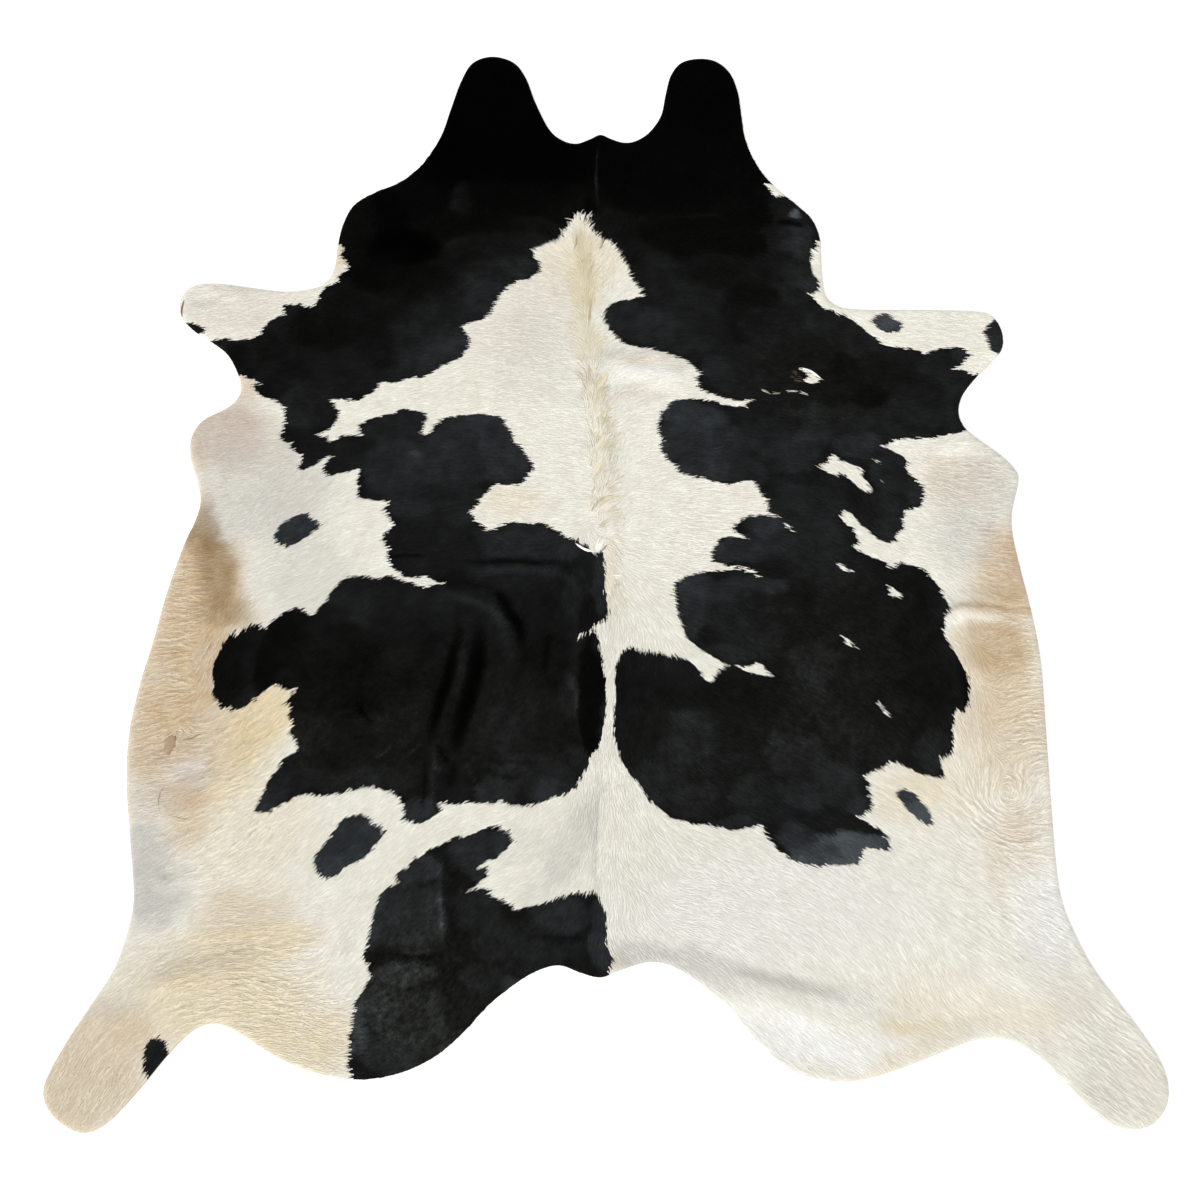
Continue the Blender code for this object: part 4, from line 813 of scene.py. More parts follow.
class Noise:
    """Smooth seeded unevenness over the hide, from -1 to 1."""

    CELLS = 256

    def __init__(self, size: float, seed: int) -> None:
        """Fills the lattice.

        Args:
            size: Distance between two lumps, in millimetres.
            seed: Number that sets this unevenness apart from the others.
        """
        self.size = size
        self.lattice = np.random.default_rng(seed).uniform(-1, 1, (self.CELLS, self.CELLS))

    def at(self, places: Array) -> Array:
        """The unevenness at places.

        Args:
            places: Points as rows of x and y.

        Returns:
            One value from -1 to 1 for each place.
        """
        cell = places / self.size
        low = np.floor(cell).astype(int)
        share = cell - low
        share = share * share * (3 - 2 * share)
        i, j = low[:, 0] % self.CELLS, low[:, 1] % self.CELLS
        i2, j2 = (i + 1) % self.CELLS, (j + 1) % self.CELLS
        near = self.lattice[i, j] * (1 - share[:, 0]) + self.lattice[i2, j] * share[:, 0]
        far = self.lattice[i, j2] * (1 - share[:, 0]) + self.lattice[i2, j2] * share[:, 0]
        return near * (1 - share[:, 1]) + far * share[:, 1]


class Loop:
    """A closed line, with the depth of places inside it."""

    CHUNK = 4000

    def __init__(self, points: Sequence[Point] | Array) -> None:
        """Keeps the line's straight pieces.

        Args:
            points: The corners, in order round the loop.
        """
        self.starts = np.array(points, float)
        self.ways = np.roll(self.starts, -1, axis=0) - self.starts

    def area(self) -> float:
        """Area inside the loop, in square millimetres."""
        ends = self.starts + self.ways
        return 0.5 * abs(float(np.sum(self.starts[:, 0] * ends[:, 1] - ends[:, 0] * self.starts[:, 1])))

    def depth(self, places: Array, reach: float = math.inf) -> Array:
        """Distance from the loop, above 0 inside it and below 0 outside.

        Args:
            places: Points as rows of x and y.
            reach: Depths are exact only this far outside the loop's box.

        Returns:
            The depth of each place, or -reach far away.
        """
        found = np.full(len(places), -reach)
        near = in_reach(places, self.starts, reach)
        for begin in range(0, len(near), self.CHUNK):
            some = near[begin:begin + self.CHUNK]
            found[some] = self._exact_depth(places[some])
        return found

    def _exact_depth(self, places: Array) -> Array:
        """The depth of a few places, by every straight piece of the loop.

        Args:
            places: Points as rows of x and y.

        Returns:
            The depth of each place.
        """
        offset = places[:, None] - self.starts[None]
        length = (self.ways ** 2).sum(1)
        share = np.clip((offset * self.ways).sum(2) / length, 0.0, 1.0)
        distance = np.sqrt(((offset - share[..., None] * self.ways) ** 2).sum(2).min(1))
        below = offset[..., 1] < 0
        end_below = offset[..., 1] < self.ways[:, 1]
        rise = np.where(self.ways[:, 1] == 0, 1.0, self.ways[:, 1])
        crossing = (below != end_below) & (offset[..., 0] < self.ways[:, 0] * offset[..., 1] / rise)
        return np.where(crossing.sum(1) % 2 == 1, distance, -distance)


def curve_point(before: Array, start: Array, end: Array, after: Array, t: float) -> Array:
    """Point on a smooth curve from one knot to the next.

    Args:
        before: The knot before the start.
        start: The knot where this stretch starts.
        end: The knot where it ends.
        after: The knot after the end.
        t: How far along the stretch, from 0 to 1.

    Returns:
        The point's x and y.
    """
    return 0.5 * (
        2 * start
        + (end - before) * t
        + (2 * before - 5 * start + 4 * end - after) * t * t
        + (3 * start - before - 3 * end + after) * t ** 3
    )


def smooth_line(points: Sequence[Point], step: float, closed: bool) -> Array:
    """A smooth curve through points, as places about step apart.

    Args:
        points: The points to run through.
        step: Longest distance between two places of the curve.
        closed: True if the curve comes back to its start.

    Returns:
        The curve's places, as rows of x and y.
    """
    knots = np.array(points, float)
    if closed:
        knots = np.vstack([knots[-1:], knots, knots[:2]])
    else:
        knots = np.vstack([2 * knots[0] - knots[1], knots, 2 * knots[-1] - knots[-2]])
    found = []
    for i in range(len(knots) - 3):
        before, start, end, after = knots[i:i + 4]
        steps = max(1, math.ceil(float(np.linalg.norm(end - start)) / step))
        found += [curve_point(before, start, end, after, k / steps) for k in range(steps)]
    return np.array(found if closed else [*found, knots[-2]])


@dataclass
class Fold:
    """One soft fold or trough across the hide.

    Attributes:
        name: What a maker would call it.
        height: How far its crest stands up, or below 0 for a trough.
        half_width: From its middle to where it has faded out.
        lean: Shift of the crest to the left of its path, as a share of half_width.
        path: Points along it.
        line: The smooth line through them.
        shares: How far along the line each of its places is, from 0 to 1.
    """

    name: str
    height: float
    half_width: float
    lean: float
    path: tuple[Point, ...]
    line: Array = field(init=False)
    shares: Array = field(init=False)

    def __post_init__(self) -> None:
        """Works out the path's smooth line."""
        self.line = smooth_line(self.path, 6.0, closed=False)
        steps = np.linalg.norm(np.diff(self.line, axis=0), axis=1)
        self.shares = np.concatenate([[0.0], np.cumsum(steps)]) / steps.sum()

    def rise(self, places: Array) -> Array:
        """How far the fold lifts each place.

        Args:
            places: Points as rows of x and y.

        Returns:
            The lift of each place, in millimetres.
        """
        lift = np.zeros(len(places))
        near = in_reach(places, self.line, self.half_width)
        if not len(near):
            return lift
        ways = np.diff(self.line, axis=0)
        offset = places[near][:, None] - self.line[None, :-1]
        share = np.clip((offset * ways).sum(2) / (ways ** 2).sum(1), 0.0, 1.0)
        distance = np.linalg.norm(offset - share[..., None] * ways, axis=2)
        pick = distance.argmin(1)
        rows = np.arange(len(near))
        aside, part, way, gap = offset[rows, pick], share[rows, pick], ways[pick], distance[rows, pick]
        side = np.sign(way[:, 0] * aside[:, 1] - way[:, 1] * aside[:, 0])
        beyond = side * gap - self.lean * self.half_width
        reach = self.half_width * (1.0 - np.sign(beyond) * self.lean)
        along = self.shares[pick] * (1 - part) + self.shares[pick + 1] * part
        fade = 0.5 - 0.5 * np.cos(np.pi * np.clip(np.minimum(along, 1 - along) / FOLD_END, 0, 1))
        bump = 0.5 + 0.5 * np.cos(np.pi * np.clip(np.abs(beyond) / reach, 0, 1))
        lift[near] = np.where(gap < self.half_width, self.height * fade * bump, 0.0)
        return lift


class Field:
    """Values over the hide that are worked out once on a grid and then read in between."""

    def __init__(self, work: Callable[[Array], Array], box: tuple[Array, Array], step: float) -> None:
        """Works out the grid.

        Args:
            work: Gives the values at places.
            box: Lowest and highest x and y of the grid.
            step: Distance between two grid points.
        """
        self.low, self.step = box[0], step
        self.counts = np.ceil((box[1] - box[0]) / step).astype(int) + 2
        axes = (self.low[k] + step * np.arange(self.counts[k]) for k in (0, 1))
        x, y = np.meshgrid(*axes, indexing="ij")
        self.places = np.stack([x.ravel(), y.ravel()], 1)
        self.fill(work(self.places))

    def fill(self, values: Array) -> None:
        """Takes a value, or a row of values, for each of the grid's places."""
        self.values = values.reshape(*self.counts, *values.shape[1:])

    def at(self, places: Array) -> Array:
        """The values at places, between the grid's own.

        Args:
            places: Points as rows of x and y.

        Returns:
            One value, or row of values, for each place.
        """
        cell = np.clip((places - self.low) / self.step, 0, self.counts - 1.001)
        i, j = np.floor(cell).astype(int).T
        share = cell - np.floor(cell)
        if self.values.ndim > 2:
            share = share[..., None]
        u, v = share[:, 0], share[:, 1]
        near = self.values[i, j] * (1 - u) + self.values[i + 1, j] * u
        far = self.values[i, j + 1] * (1 - u) + self.values[i + 1, j + 1] * u
        return near * (1 - v) + far * v


@dataclass
class Relief:
    """The shape of the hide: its cut edge, its folds and the thickness of its coat.

    Attributes:
        skin: Thickness of the tanned skin.
        coat: Thickness of the skin with its hair.
        shoulder: Where the hair's slope at the edge grows flatter, and how high.
        slope: Where the hair reaches its full height.
        ridge: Height, half width, lowest y, highest y and run-out of the spine's ridge.
        margin: How far the grids go past the edge.
        steps: Distances between the edge's places, in the grid of depths and in the grid of heights.
        lumpiness: Height of the coat's wide lumps and of its small ones.
        even_rim: How far from the edge the lumps and creases have their full height.
        outside: A depth outside the edge and the height that the hair has there.
        edge: The cut edge's places, in order.
        loop: The same as a closed line.
        centre: Middle of the edge's box.
        box: Lowest and highest x and y of the grids.
    """

    skin: float = 2.6
    coat: float = 6.0
    shoulder: Point = (3.5, 4.9)
    slope: float = 11.0
    ridge: tuple[float, float, float, float, float] = (2.0, 34.0, -450.0, 740.0, 110.0)
    margin: float = 40.0
    steps: tuple[float, float, float] = (5.0, 5.0, 3.5)
    lumpiness: Point = (0.34, 0.2)
    even_rim: float = 30.0
    outside: Point = (-8.0, 1.0)
    edge: Array = field(init=False)
    loop: Loop = field(init=False)
    centre: Array = field(init=False)
    box: tuple[Array, Array] = field(init=False)

    def __post_init__(self) -> None:
        """Lays the edge and the folds, and works out the grids of depth and height."""
        along_edge, of_depths, of_heights = self.steps
        corners = [point for _, points in EDGE for point in points]
        self.edge = smooth_line(corners, along_edge, closed=True)
        self.loop = Loop(self.edge)
        self.centre = (self.edge.min(0) + self.edge.max(0)) / 2
        self.folds = [Fold(*sizes) for sizes in FOLDS]
        self.creases = [Fold(*sizes) for sizes in CREASES]
        self.lumps = Noise(74.0, 11), Noise(21.0, 12)
        self.box = self.edge.min(0) - self.margin, self.edge.max(0) + self.margin
        self.depths = Field(Loop(self.edge[::2]).depth, self.box, of_depths)
        self.tops = Field(
            lambda places: self.top(places, self.depths.at(places)), self.box, of_heights)

    def lift(self, places: Array) -> Array:
        """Height of the underside over the floor."""
        return np.max([fold.rise(places) for fold in self.folds], axis=0)

    def top(self, places: Array, depth: Array) -> Array:
        """Height of the hair's surface over the floor.

        Args:
            places: Points as rows of x and y.
            depth: Their distance inside the cut edge.

        Returns:
            The height at each place, in millimetres.
        """
        rim = np.interp(depth, (self.outside[0], 0.0, self.shoulder[0], self.slope),
                        (self.outside[1], self.skin, self.shoulder[1], self.coat))
        height, half_width, first, last, run_out = self.ridge
        across = np.clip(1 - np.abs(places[:, 0]) / half_width, 0, 1)
        along = np.clip(np.minimum(places[:, 1] - first, last - places[:, 1]) / run_out, 0, 1)
        inner = smooth_step(depth / self.even_rim)
        lumps = sum(size * lump.at(places) for size, lump in zip(self.lumpiness, self.lumps))
        stir = sum(crease.rise(places) for crease in self.creases)
        return self.lift(places) + rim + height * across * along + inner * (lumps + stir)

    def metres(self, places: Array, heights: Array) -> Array:
        """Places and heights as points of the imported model's frame.

        Args:
            places: Points as rows of x and y.
            heights: Height of each over the floor.

        Returns:
            Rows of x, y and z in metres.
        """
        return np.column_stack([places - self.centre, heights]) * MM


def blobs(places: Array, rows: Sequence[Sequence[float]], wander: Array) -> list[Array]:
    """Soft oval weights, one for each row of x, y, reach along, reach across and turn.

    Args:
        places: Points as rows of x and y.
        rows: The ovals.
        wander: Shift of each place, which makes the ovals uneven.

    Returns:
        For each row, the weight at each place: 1 in the middle and 0 well outside.
    """
    moved = places + wander
    found = []
    for x, y, along, across, turn in rows:
        angle = math.radians(turn)
        dx, dy = moved[:, 0] - x, moved[:, 1] - y
        far = np.hypot((dx * math.cos(angle) + dy * math.sin(angle)) / along,
                       (dy * math.cos(angle) - dx * math.sin(angle)) / across)
        found.append(smooth_step(1.5 - far))
    return found


class Markings:
    """The hide's colours: black patches, stains with some painted light and shade, and tones, as masks over
    places.
    """

    # How far outside a patch its depth is still worked out, the grid's step, and the
    # sway of the edge of a stain or of painted light or shade, wide and fine.
    REACH = 60.0
    STEP = 3.2
    SWAY = 16.0, 7.0

    def __init__(self, box: tuple[Array, Array]) -> None:
        """Keeps the outlines and works out the stains, with their painted light and shade, on a grid.

        Args:
            box: Lowest and highest x and y of the grid.
        """
        self.black = [Loop(points) for _, points in BLACK]
        self.pale = [Loop(points) for _, points in PALE]
        self.drift = Noise(58.0, 21), Noise(58.0, 22), Noise(19.0, 23), Noise(19.0, 24)
        self.ragged = Noise(7.0, 25)
        self.gleams = [Fold(*sizes) for sizes in GLEAMS]
        self.stains_and_painted_light = {t.value: Field(partial(self._tinted, t), box, self.STEP) for t in Tint}

    def blackness(self, places: Array) -> Array:
        """How far each place is inside the black.

        Args:
            places: Points as rows of x and y.

        Returns:
            The depth of each place, below 0 in the pale hair.
        """
        depth = np.max([loop.depth(places, self.REACH) for loop in self.black], axis=0)
        for loop in self.pale:
            depth = np.minimum(depth, -loop.depth(places, self.REACH))
        return depth

    def wander(self, places: Array) -> Array:
        """Uneven shift of places, so that no stain or painted light or shade has a drawn edge.

        Args:
            places: Points as rows of x and y.

        Returns:
            A shift of x and y for each place.
        """
        wide = np.stack([self.drift[0].at(places), self.drift[1].at(places)], 1)
        fine = np.stack([self.drift[2].at(places), self.drift[3].at(places)], 1)
        return self.SWAY[0] * wide + self.SWAY[1] * fine

    def _tinted(self, tint: Tint, places: Array) -> Array:
        """How strongly a tint colours places, as a stain or as painted light or shade.

        Args:
            tint: The tint.
            places: Points as rows of x and y.

        Returns:
            A strength for each place, from 0 to 1.
        """
        weights = blobs(places, [row[:5] for row in STAINS_AND_PAINTED_LIGHT[tint]], self.wander(places))
        return 1 - np.prod([1 - row[-1] * weight for weight, row in zip(weights, STAINS_AND_PAINTED_LIGHT[tint])], axis=0)

    def tints(self, places: Array) -> dict[str, Array]:
        """The mask of each tint: a stain, or in a few places painted light or shade.

        Args:
            places: Points as rows of x and y.

        Returns:
            For each tint's name, its strength at each place, from 0 to 1.
        """
        return {name: tint_grid.at(places) for name, tint_grid in self.stains_and_painted_light.items()}

    def tone(self, places: Array) -> Array:
        """How pale the black hair is, with painted sheen and painted strokes of light and shade on its
        folds.

        Args:
            places: Points as rows of x and y.

        Returns:
            A brightness for each place, as in the table of tones.
        """
        rows = [row for group in TONES.values() for row in group]
        weights = blobs(places, [(*row[:4], 0) for row in rows], self.wander(places) * 0.6)
        total = np.full(len(places), TONE_ELSEWHERE_WEIGHT)
        tones = total * TONE_ELSEWHERE
        for weight, row in zip(weights, rows):
            total += weight ** 2
            tones += weight ** 2 * row[-1]
        # The gleams are painted light and shade where the black hair's folds turn to or from the light.
        stirred = places + self.wander(places) * 0.18
        change = sum(gleam.rise(stirred) for gleam in self.gleams)
        cloud = 0.10 * self.drift[0].at(places) + 0.14 * self.drift[2].at(places)
        return tones / total * np.exp(change + cloud)


class Nap:
    """The lie of the hair over the hide."""

    # How near a row of the table has to be to rule the lie alone, how fast its say
    # fades, the grid's step, and how far the lie wavers, in radians.
    SOFTNESS = 24.0
    FADE = 1.9
    STEP = 7.0
    TURN = 0.10

    def __init__(self, box: tuple[Array, Array]) -> None:
        """Works out the lie on a grid.

        Args:
            box: Lowest and highest x and y of the grid.
        """
        self.box = box
        self.bend = Noise(46.0, 31), Noise(13.0, 32)
        self.ways = Field(self._mixed, box, self.STEP)

    def _mixed(self, places: Array) -> Array:
        """Mean of the table's directions near each place, turned by the whorls.

        Args:
            places: Points as rows of x and y.

        Returns:
            A direction for each place, of any length.
        """
        rows = np.array(NAP)
        angles = np.radians(rows[:, 2])
        ways = np.stack([np.cos(angles), np.sin(angles)], 1)
        squares = ((places[:, None] - rows[None, :, :2]) ** 2).sum(2)
        weights = 1 / (squares + self.SOFTNESS ** 2) ** self.FADE
        found = weights @ ways
        found /= np.linalg.norm(found, axis=1)[:, None] + 1e-9
        for _, x, y, reach, strength in WHORLS:
            offset = places - (x, y)
            far = np.linalg.norm(offset, axis=1)
            swirl = left_of(offset) / (far[:, None] + 1e-6)
            found += swirl * (strength * np.exp(-(far / reach) ** 2))[:, None]
        return found

    def way(self, places: Array) -> Array:
        """Unit vectors from root to tip.

        Args:
            places: Points as rows of x and y.

        Returns:
            A row of x and y for each place.
        """
        turn = self.TURN * self.bend[0].at(places) + self.TURN * self.bend[1].at(places)
        found = turned(self.ways.at(places), turn)
        return found / (np.hypot(*found.T)[:, None] + 1e-9)

    def strands(self, places: Array, size: float, length: float, seed: int) -> Array:
        """Streaks that follow the lie, as clumped hair shows them.

        Args:
            places: Points as rows of x and y.
            size: Width of a streak.
            length: Length of a streak.
            seed: Number that sets these streaks apart.

        Returns:
            A value for each place, about -2 to 2: above 0 on a clump, below 0 between two.
        """
        noise = Noise(size, seed)
        steps = max(2, round(length / size))
        step = length / 2 / steps
        total = noise.at(places)
        for sense in (-1.0, 1.0):
            walker = places.copy()
            for _ in range(steps):
                walker = walker + sense * step * self.way(walker)
                total = total + noise.at(walker)
        return total / total.std()

    def combed(self, spacing: float, seed: int) -> Field:
        """Ridges of waved hair, which follow the lie at an even spacing.

        Args:
            spacing: Distance from one ridge to the next.
            seed: Number that sets these ridges apart.

        Returns:
            Values on a grid: above 0 on a ridge, below 0 between two.
        """
        found = Field(Noise(spacing * 0.4, seed).at, self.box, 2.2)
        way = self.way(found.places)
        for shift in (2.2, 4.0, 7.0):
            beside = [found.at(found.places + way * far) for far in (-shift, shift)]
            found.fill(found.values.ravel() + beside[0] + beside[1])
        across = left_of(way) * spacing / 2
        beside = [found.at(found.places + across * sense) for sense in (-1.0, 1.0)]
        ridges = found.values.ravel() - 0.5 * (beside[0] + beside[1])
        found.fill(ridges / ridges.std())
        sway = np.stack([Noise(12.0, seed + k).at(found.places) for k in (1, 2)], 1)
        swayed = found.at(found.places + 3.2 * sway)
        found.fill(swayed - 0.24 * (swayed ** 2 - 1.0))
        return found


def placed(name: str, data: bpy.types.ID) -> bpy.types.Object:
    """Puts something in the scene.

    Args:
        name: Its name.
        data: The mesh, lamp or camera.

    Returns:
        The new object.
    """
    made = bpy.data.objects.new(name, data)
    bpy.context.scene.collection.objects.link(made)
    return made


@dataclass
class MeshParts:
    """Arrays that one mesh is made from.

    Attributes:
        points: Rows of x, y and z in metres.
        triangles: Rows of three point numbers, anticlockwise from outside.
        map_places: Where each triangle's corners lie on the flat map, from 0 to 1.
        masks: Values at the points, by the name that the finishes read.
        slots: For each triangle, which of the piece's materials it wears.
    """

    points: Array
    triangles: Array
    map_places: Array
    masks: dict[str, Array] = field(default_factory=dict)
    slots: Array | None = None

    def build(self, name: str, materials: Sequence[bpy.types.Material], smooth: bool) -> bpy.types.Object:
        """Makes the piece in the scene, on the hide's body and in its place.

        Args:
            name: The piece's name.
            materials: The materials it wears.
            smooth: True for a surface, False where each small face shows.

        Returns:
            The new object.
        """
        mesh = bpy.data.meshes.new(name)
        mesh.vertices.add(len(self.points))
        mesh.vertices.foreach_set("co", self.points.astype(np.float32).ravel())
        mesh.loops.add(self.triangles.size)
        mesh.loops.foreach_set("vertex_index", self.triangles.astype(np.int32).ravel())
        mesh.polygons.add(len(self.triangles))
        mesh.polygons.foreach_set("loop_start", np.arange(0, self.triangles.size, 3, dtype=np.int32))
        mesh.update(calc_edges=True)
        mesh.polygons.foreach_set("use_smooth", np.full(len(self.triangles), smooth))
        if self.slots is not None:
            mesh.polygons.foreach_set("material_index", self.slots.astype(np.int32))
        for mask, values in self.masks.items():
            layer = mesh.attributes.new(mask, "FLOAT", "POINT")
            layer.data.foreach_set("value", values.astype(np.float32))
        layer = mesh.uv_layers.new(name="OFBake")
        layer.uv.foreach_set("vector", self.map_places.astype(np.float32).ravel())
        for material in materials:
            mesh.materials.append(material)
        piece = placed(name, mesh)
        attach(piece, "root")
        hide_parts("hide")
        LOG.info("%s: %d triangles", name, len(self.triangles))
        return piece


class Wire:
    """A value or colour in a material's nodes, on which sums add Math nodes."""

    def __init__(self, recipe: "Recipe", socket: bpy.types.NodeSocket) -> None:
        """Keeps an output socket and the recipe that it belongs to."""
        self.recipe = recipe
        self.socket = socket

    def _sum(self, operation: str, first: "Wire | float", second: "Wire | float" = 0.0) -> "Wire":
        """A Math node on two values."""
        sockets = {"Value": first, "Value_001": second}
        return self.recipe.node("ShaderNodeMath", {"operation": operation}, sockets)

    def __add__(self, other: "Wire | float") -> "Wire":
        """This value plus another."""
        return self._sum("ADD", self, other)

    def __radd__(self, other: float) -> "Wire":
        """A number plus this value."""
        return self._sum("ADD", other, self)

    def __sub__(self, other: "Wire | float") -> "Wire":
        """This value less another."""
        return self._sum("SUBTRACT", self, other)

    def __rsub__(self, other: float) -> "Wire":
        """A number less this value."""
        return self._sum("SUBTRACT", other, self)

    def __mul__(self, other: "Wire | float") -> "Wire":
        """This value times another."""
        return self._sum("MULTIPLY", self, other)

    def __rmul__(self, other: float) -> "Wire":
        """A number times this value."""
        return self._sum("MULTIPLY", other, self)

    def sine(self) -> "Wire":
        """The sine of this value."""
        return self._sum("SINE", self)

    def eased(self, low: float, high: float) -> "Wire":
        """This value brought to 0 at low and 1 at high, with soft ends."""
        sockets = {"Value": self, "From Min": low, "From Max": high}
        return self.recipe.node("ShaderNodeMapRange", {"interpolation_type": "SMOOTHSTEP"}, sockets)


class Recipe:
    """A material in the making."""

    def __init__(self, name: str) -> None:
        """Starts the material with its Principled shader only.

        Args:
            name: The material's name.
        """
        self.material = bpy.data.materials.new(name)
        self.material.use_nodes = True
        self.tree = self.material.node_tree
        self.shader = self.tree.nodes["Principled BSDF"]

    def node(
        self,
        kind: str,
        settings: dict[str, object] | None = None,
        sockets: dict[str, object] | None = None,
        output: str | None = None,
    ) -> Wire:
        """Adds a node.

        Args:
            kind: The node's type.
            settings: Its properties, set first. "stops" fills a colour ramp.
            sockets: Values or wires for its inputs, by their identifiers.
            output: Identifier of the output wanted, or None for the first.

        Returns:
            A wire from that output.
        """
        made = self.tree.nodes.new(kind)
        for name, value in (settings or {}).items():
            if name == "stops":
                self._fill_ramp(made, value)
            else:
                setattr(made, name, value)
        for name, value in (sockets or {}).items():
            self.plug(made, name, value)
        outputs = {socket.identifier: socket for socket in made.outputs}
        return Wire(self, outputs[output] if output else made.outputs[0])

    @staticmethod
    def _fill_ramp(ramp: bpy.types.Node, stops: Sequence[tuple[float, Sequence[float]]]) -> None:
        """Sets a colour ramp's stops.

        Args:
            ramp: The ramp's node.
            stops: Place and colour of each stop.
        """
        elements = ramp.color_ramp.elements
        while len(elements) < len(stops):
            elements.new(1.0)
        for element, (place, colour) in zip(elements, stops):
            element.position = place
            element.color = colour

    def plug(self, node: bpy.types.Node, name: str, value: object) -> None:
        """Links a wire to a node's input, or sets the input's own value.

        Args:
            node: The node.
            name: The input's identifier.
            value: A wire, a number or a colour.
        """
        socket = next(s for s in node.inputs if s.identifier == name)
        if isinstance(value, Wire):
            self.tree.links.new(value.socket, socket)
        else:
            socket.default_value = value

    def finished(self, inputs: dict[str, object]) -> bpy.types.Material:
        """Ends the material.

        Args:
            inputs: Values or wires for the Principled shader's inputs.

        Returns:
            The material.
        """
        for name, value in inputs.items():
            self.plug(self.shader, name, value)
        return self.material

    def mask(self, name: str) -> Wire:
        """A mask that the meshes carry."""
        return self.node("ShaderNodeAttribute", {"attribute_name": name}, output="Fac")

    def place(self) -> Wire:
        """The place on the piece, in metres."""
        return self.node("ShaderNodeTexCoord", output="Object")

    def noise(self, scale: float, detail: float = 2.0, rough: float = 0.5) -> Wire:
        """Cloudy noise over the piece, from 0 to 1.

        Args:
            scale: Number of clouds to a metre.
            detail: How many finer layers it has.
            rough: Strength of the finer layers.

        Returns:
            A wire with the noise.
        """
        sockets = {"Vector": self.place(), "Scale": scale, "Detail": detail, "Roughness": rough}
        return self.node("ShaderNodeTexNoise", sockets=sockets, output="Fac")

    def mix(self, first: object, second: object, share: object, way: str = "MIX") -> Wire:
        """Two colours mixed.

        Args:
            first: Colour or wire that shows at share 0.
            second: Colour or wire that shows at share 1.
            share: Number or wire.
            way: The Mix node's blend type.

        Returns:
            A wire with the mixed colour.
        """
        sockets = {"Factor_Float": share, "A_Color": first, "B_Color": second}
        return self.node("ShaderNodeMix", {"data_type": "RGBA", "blend_type": way}, sockets, "Result_Color")

    def scaled(self, colour: Wire, factor: Wire) -> Wire:
        """A colour made lighter or darker by a factor."""
        sockets = {"Vector": colour, "Scale": factor}
        return self.node("ShaderNodeVectorMath", {"operation": "SCALE"}, sockets, "Vector")

    def bump(self, height: Wire, strength: float, distance: float) -> Wire:
        """Surface relief from a height.

        Args:
            height: The height, from 0 to 1.
            strength: Share of the relief that shows.
            distance: What a height of 1 stands for, in metres.

        Returns:
            A wire for the shader's Normal.
        """
        sockets = {"Height": height, "Strength": strength, "Distance": distance}
        return self.node("ShaderNodeBump", sockets=sockets)


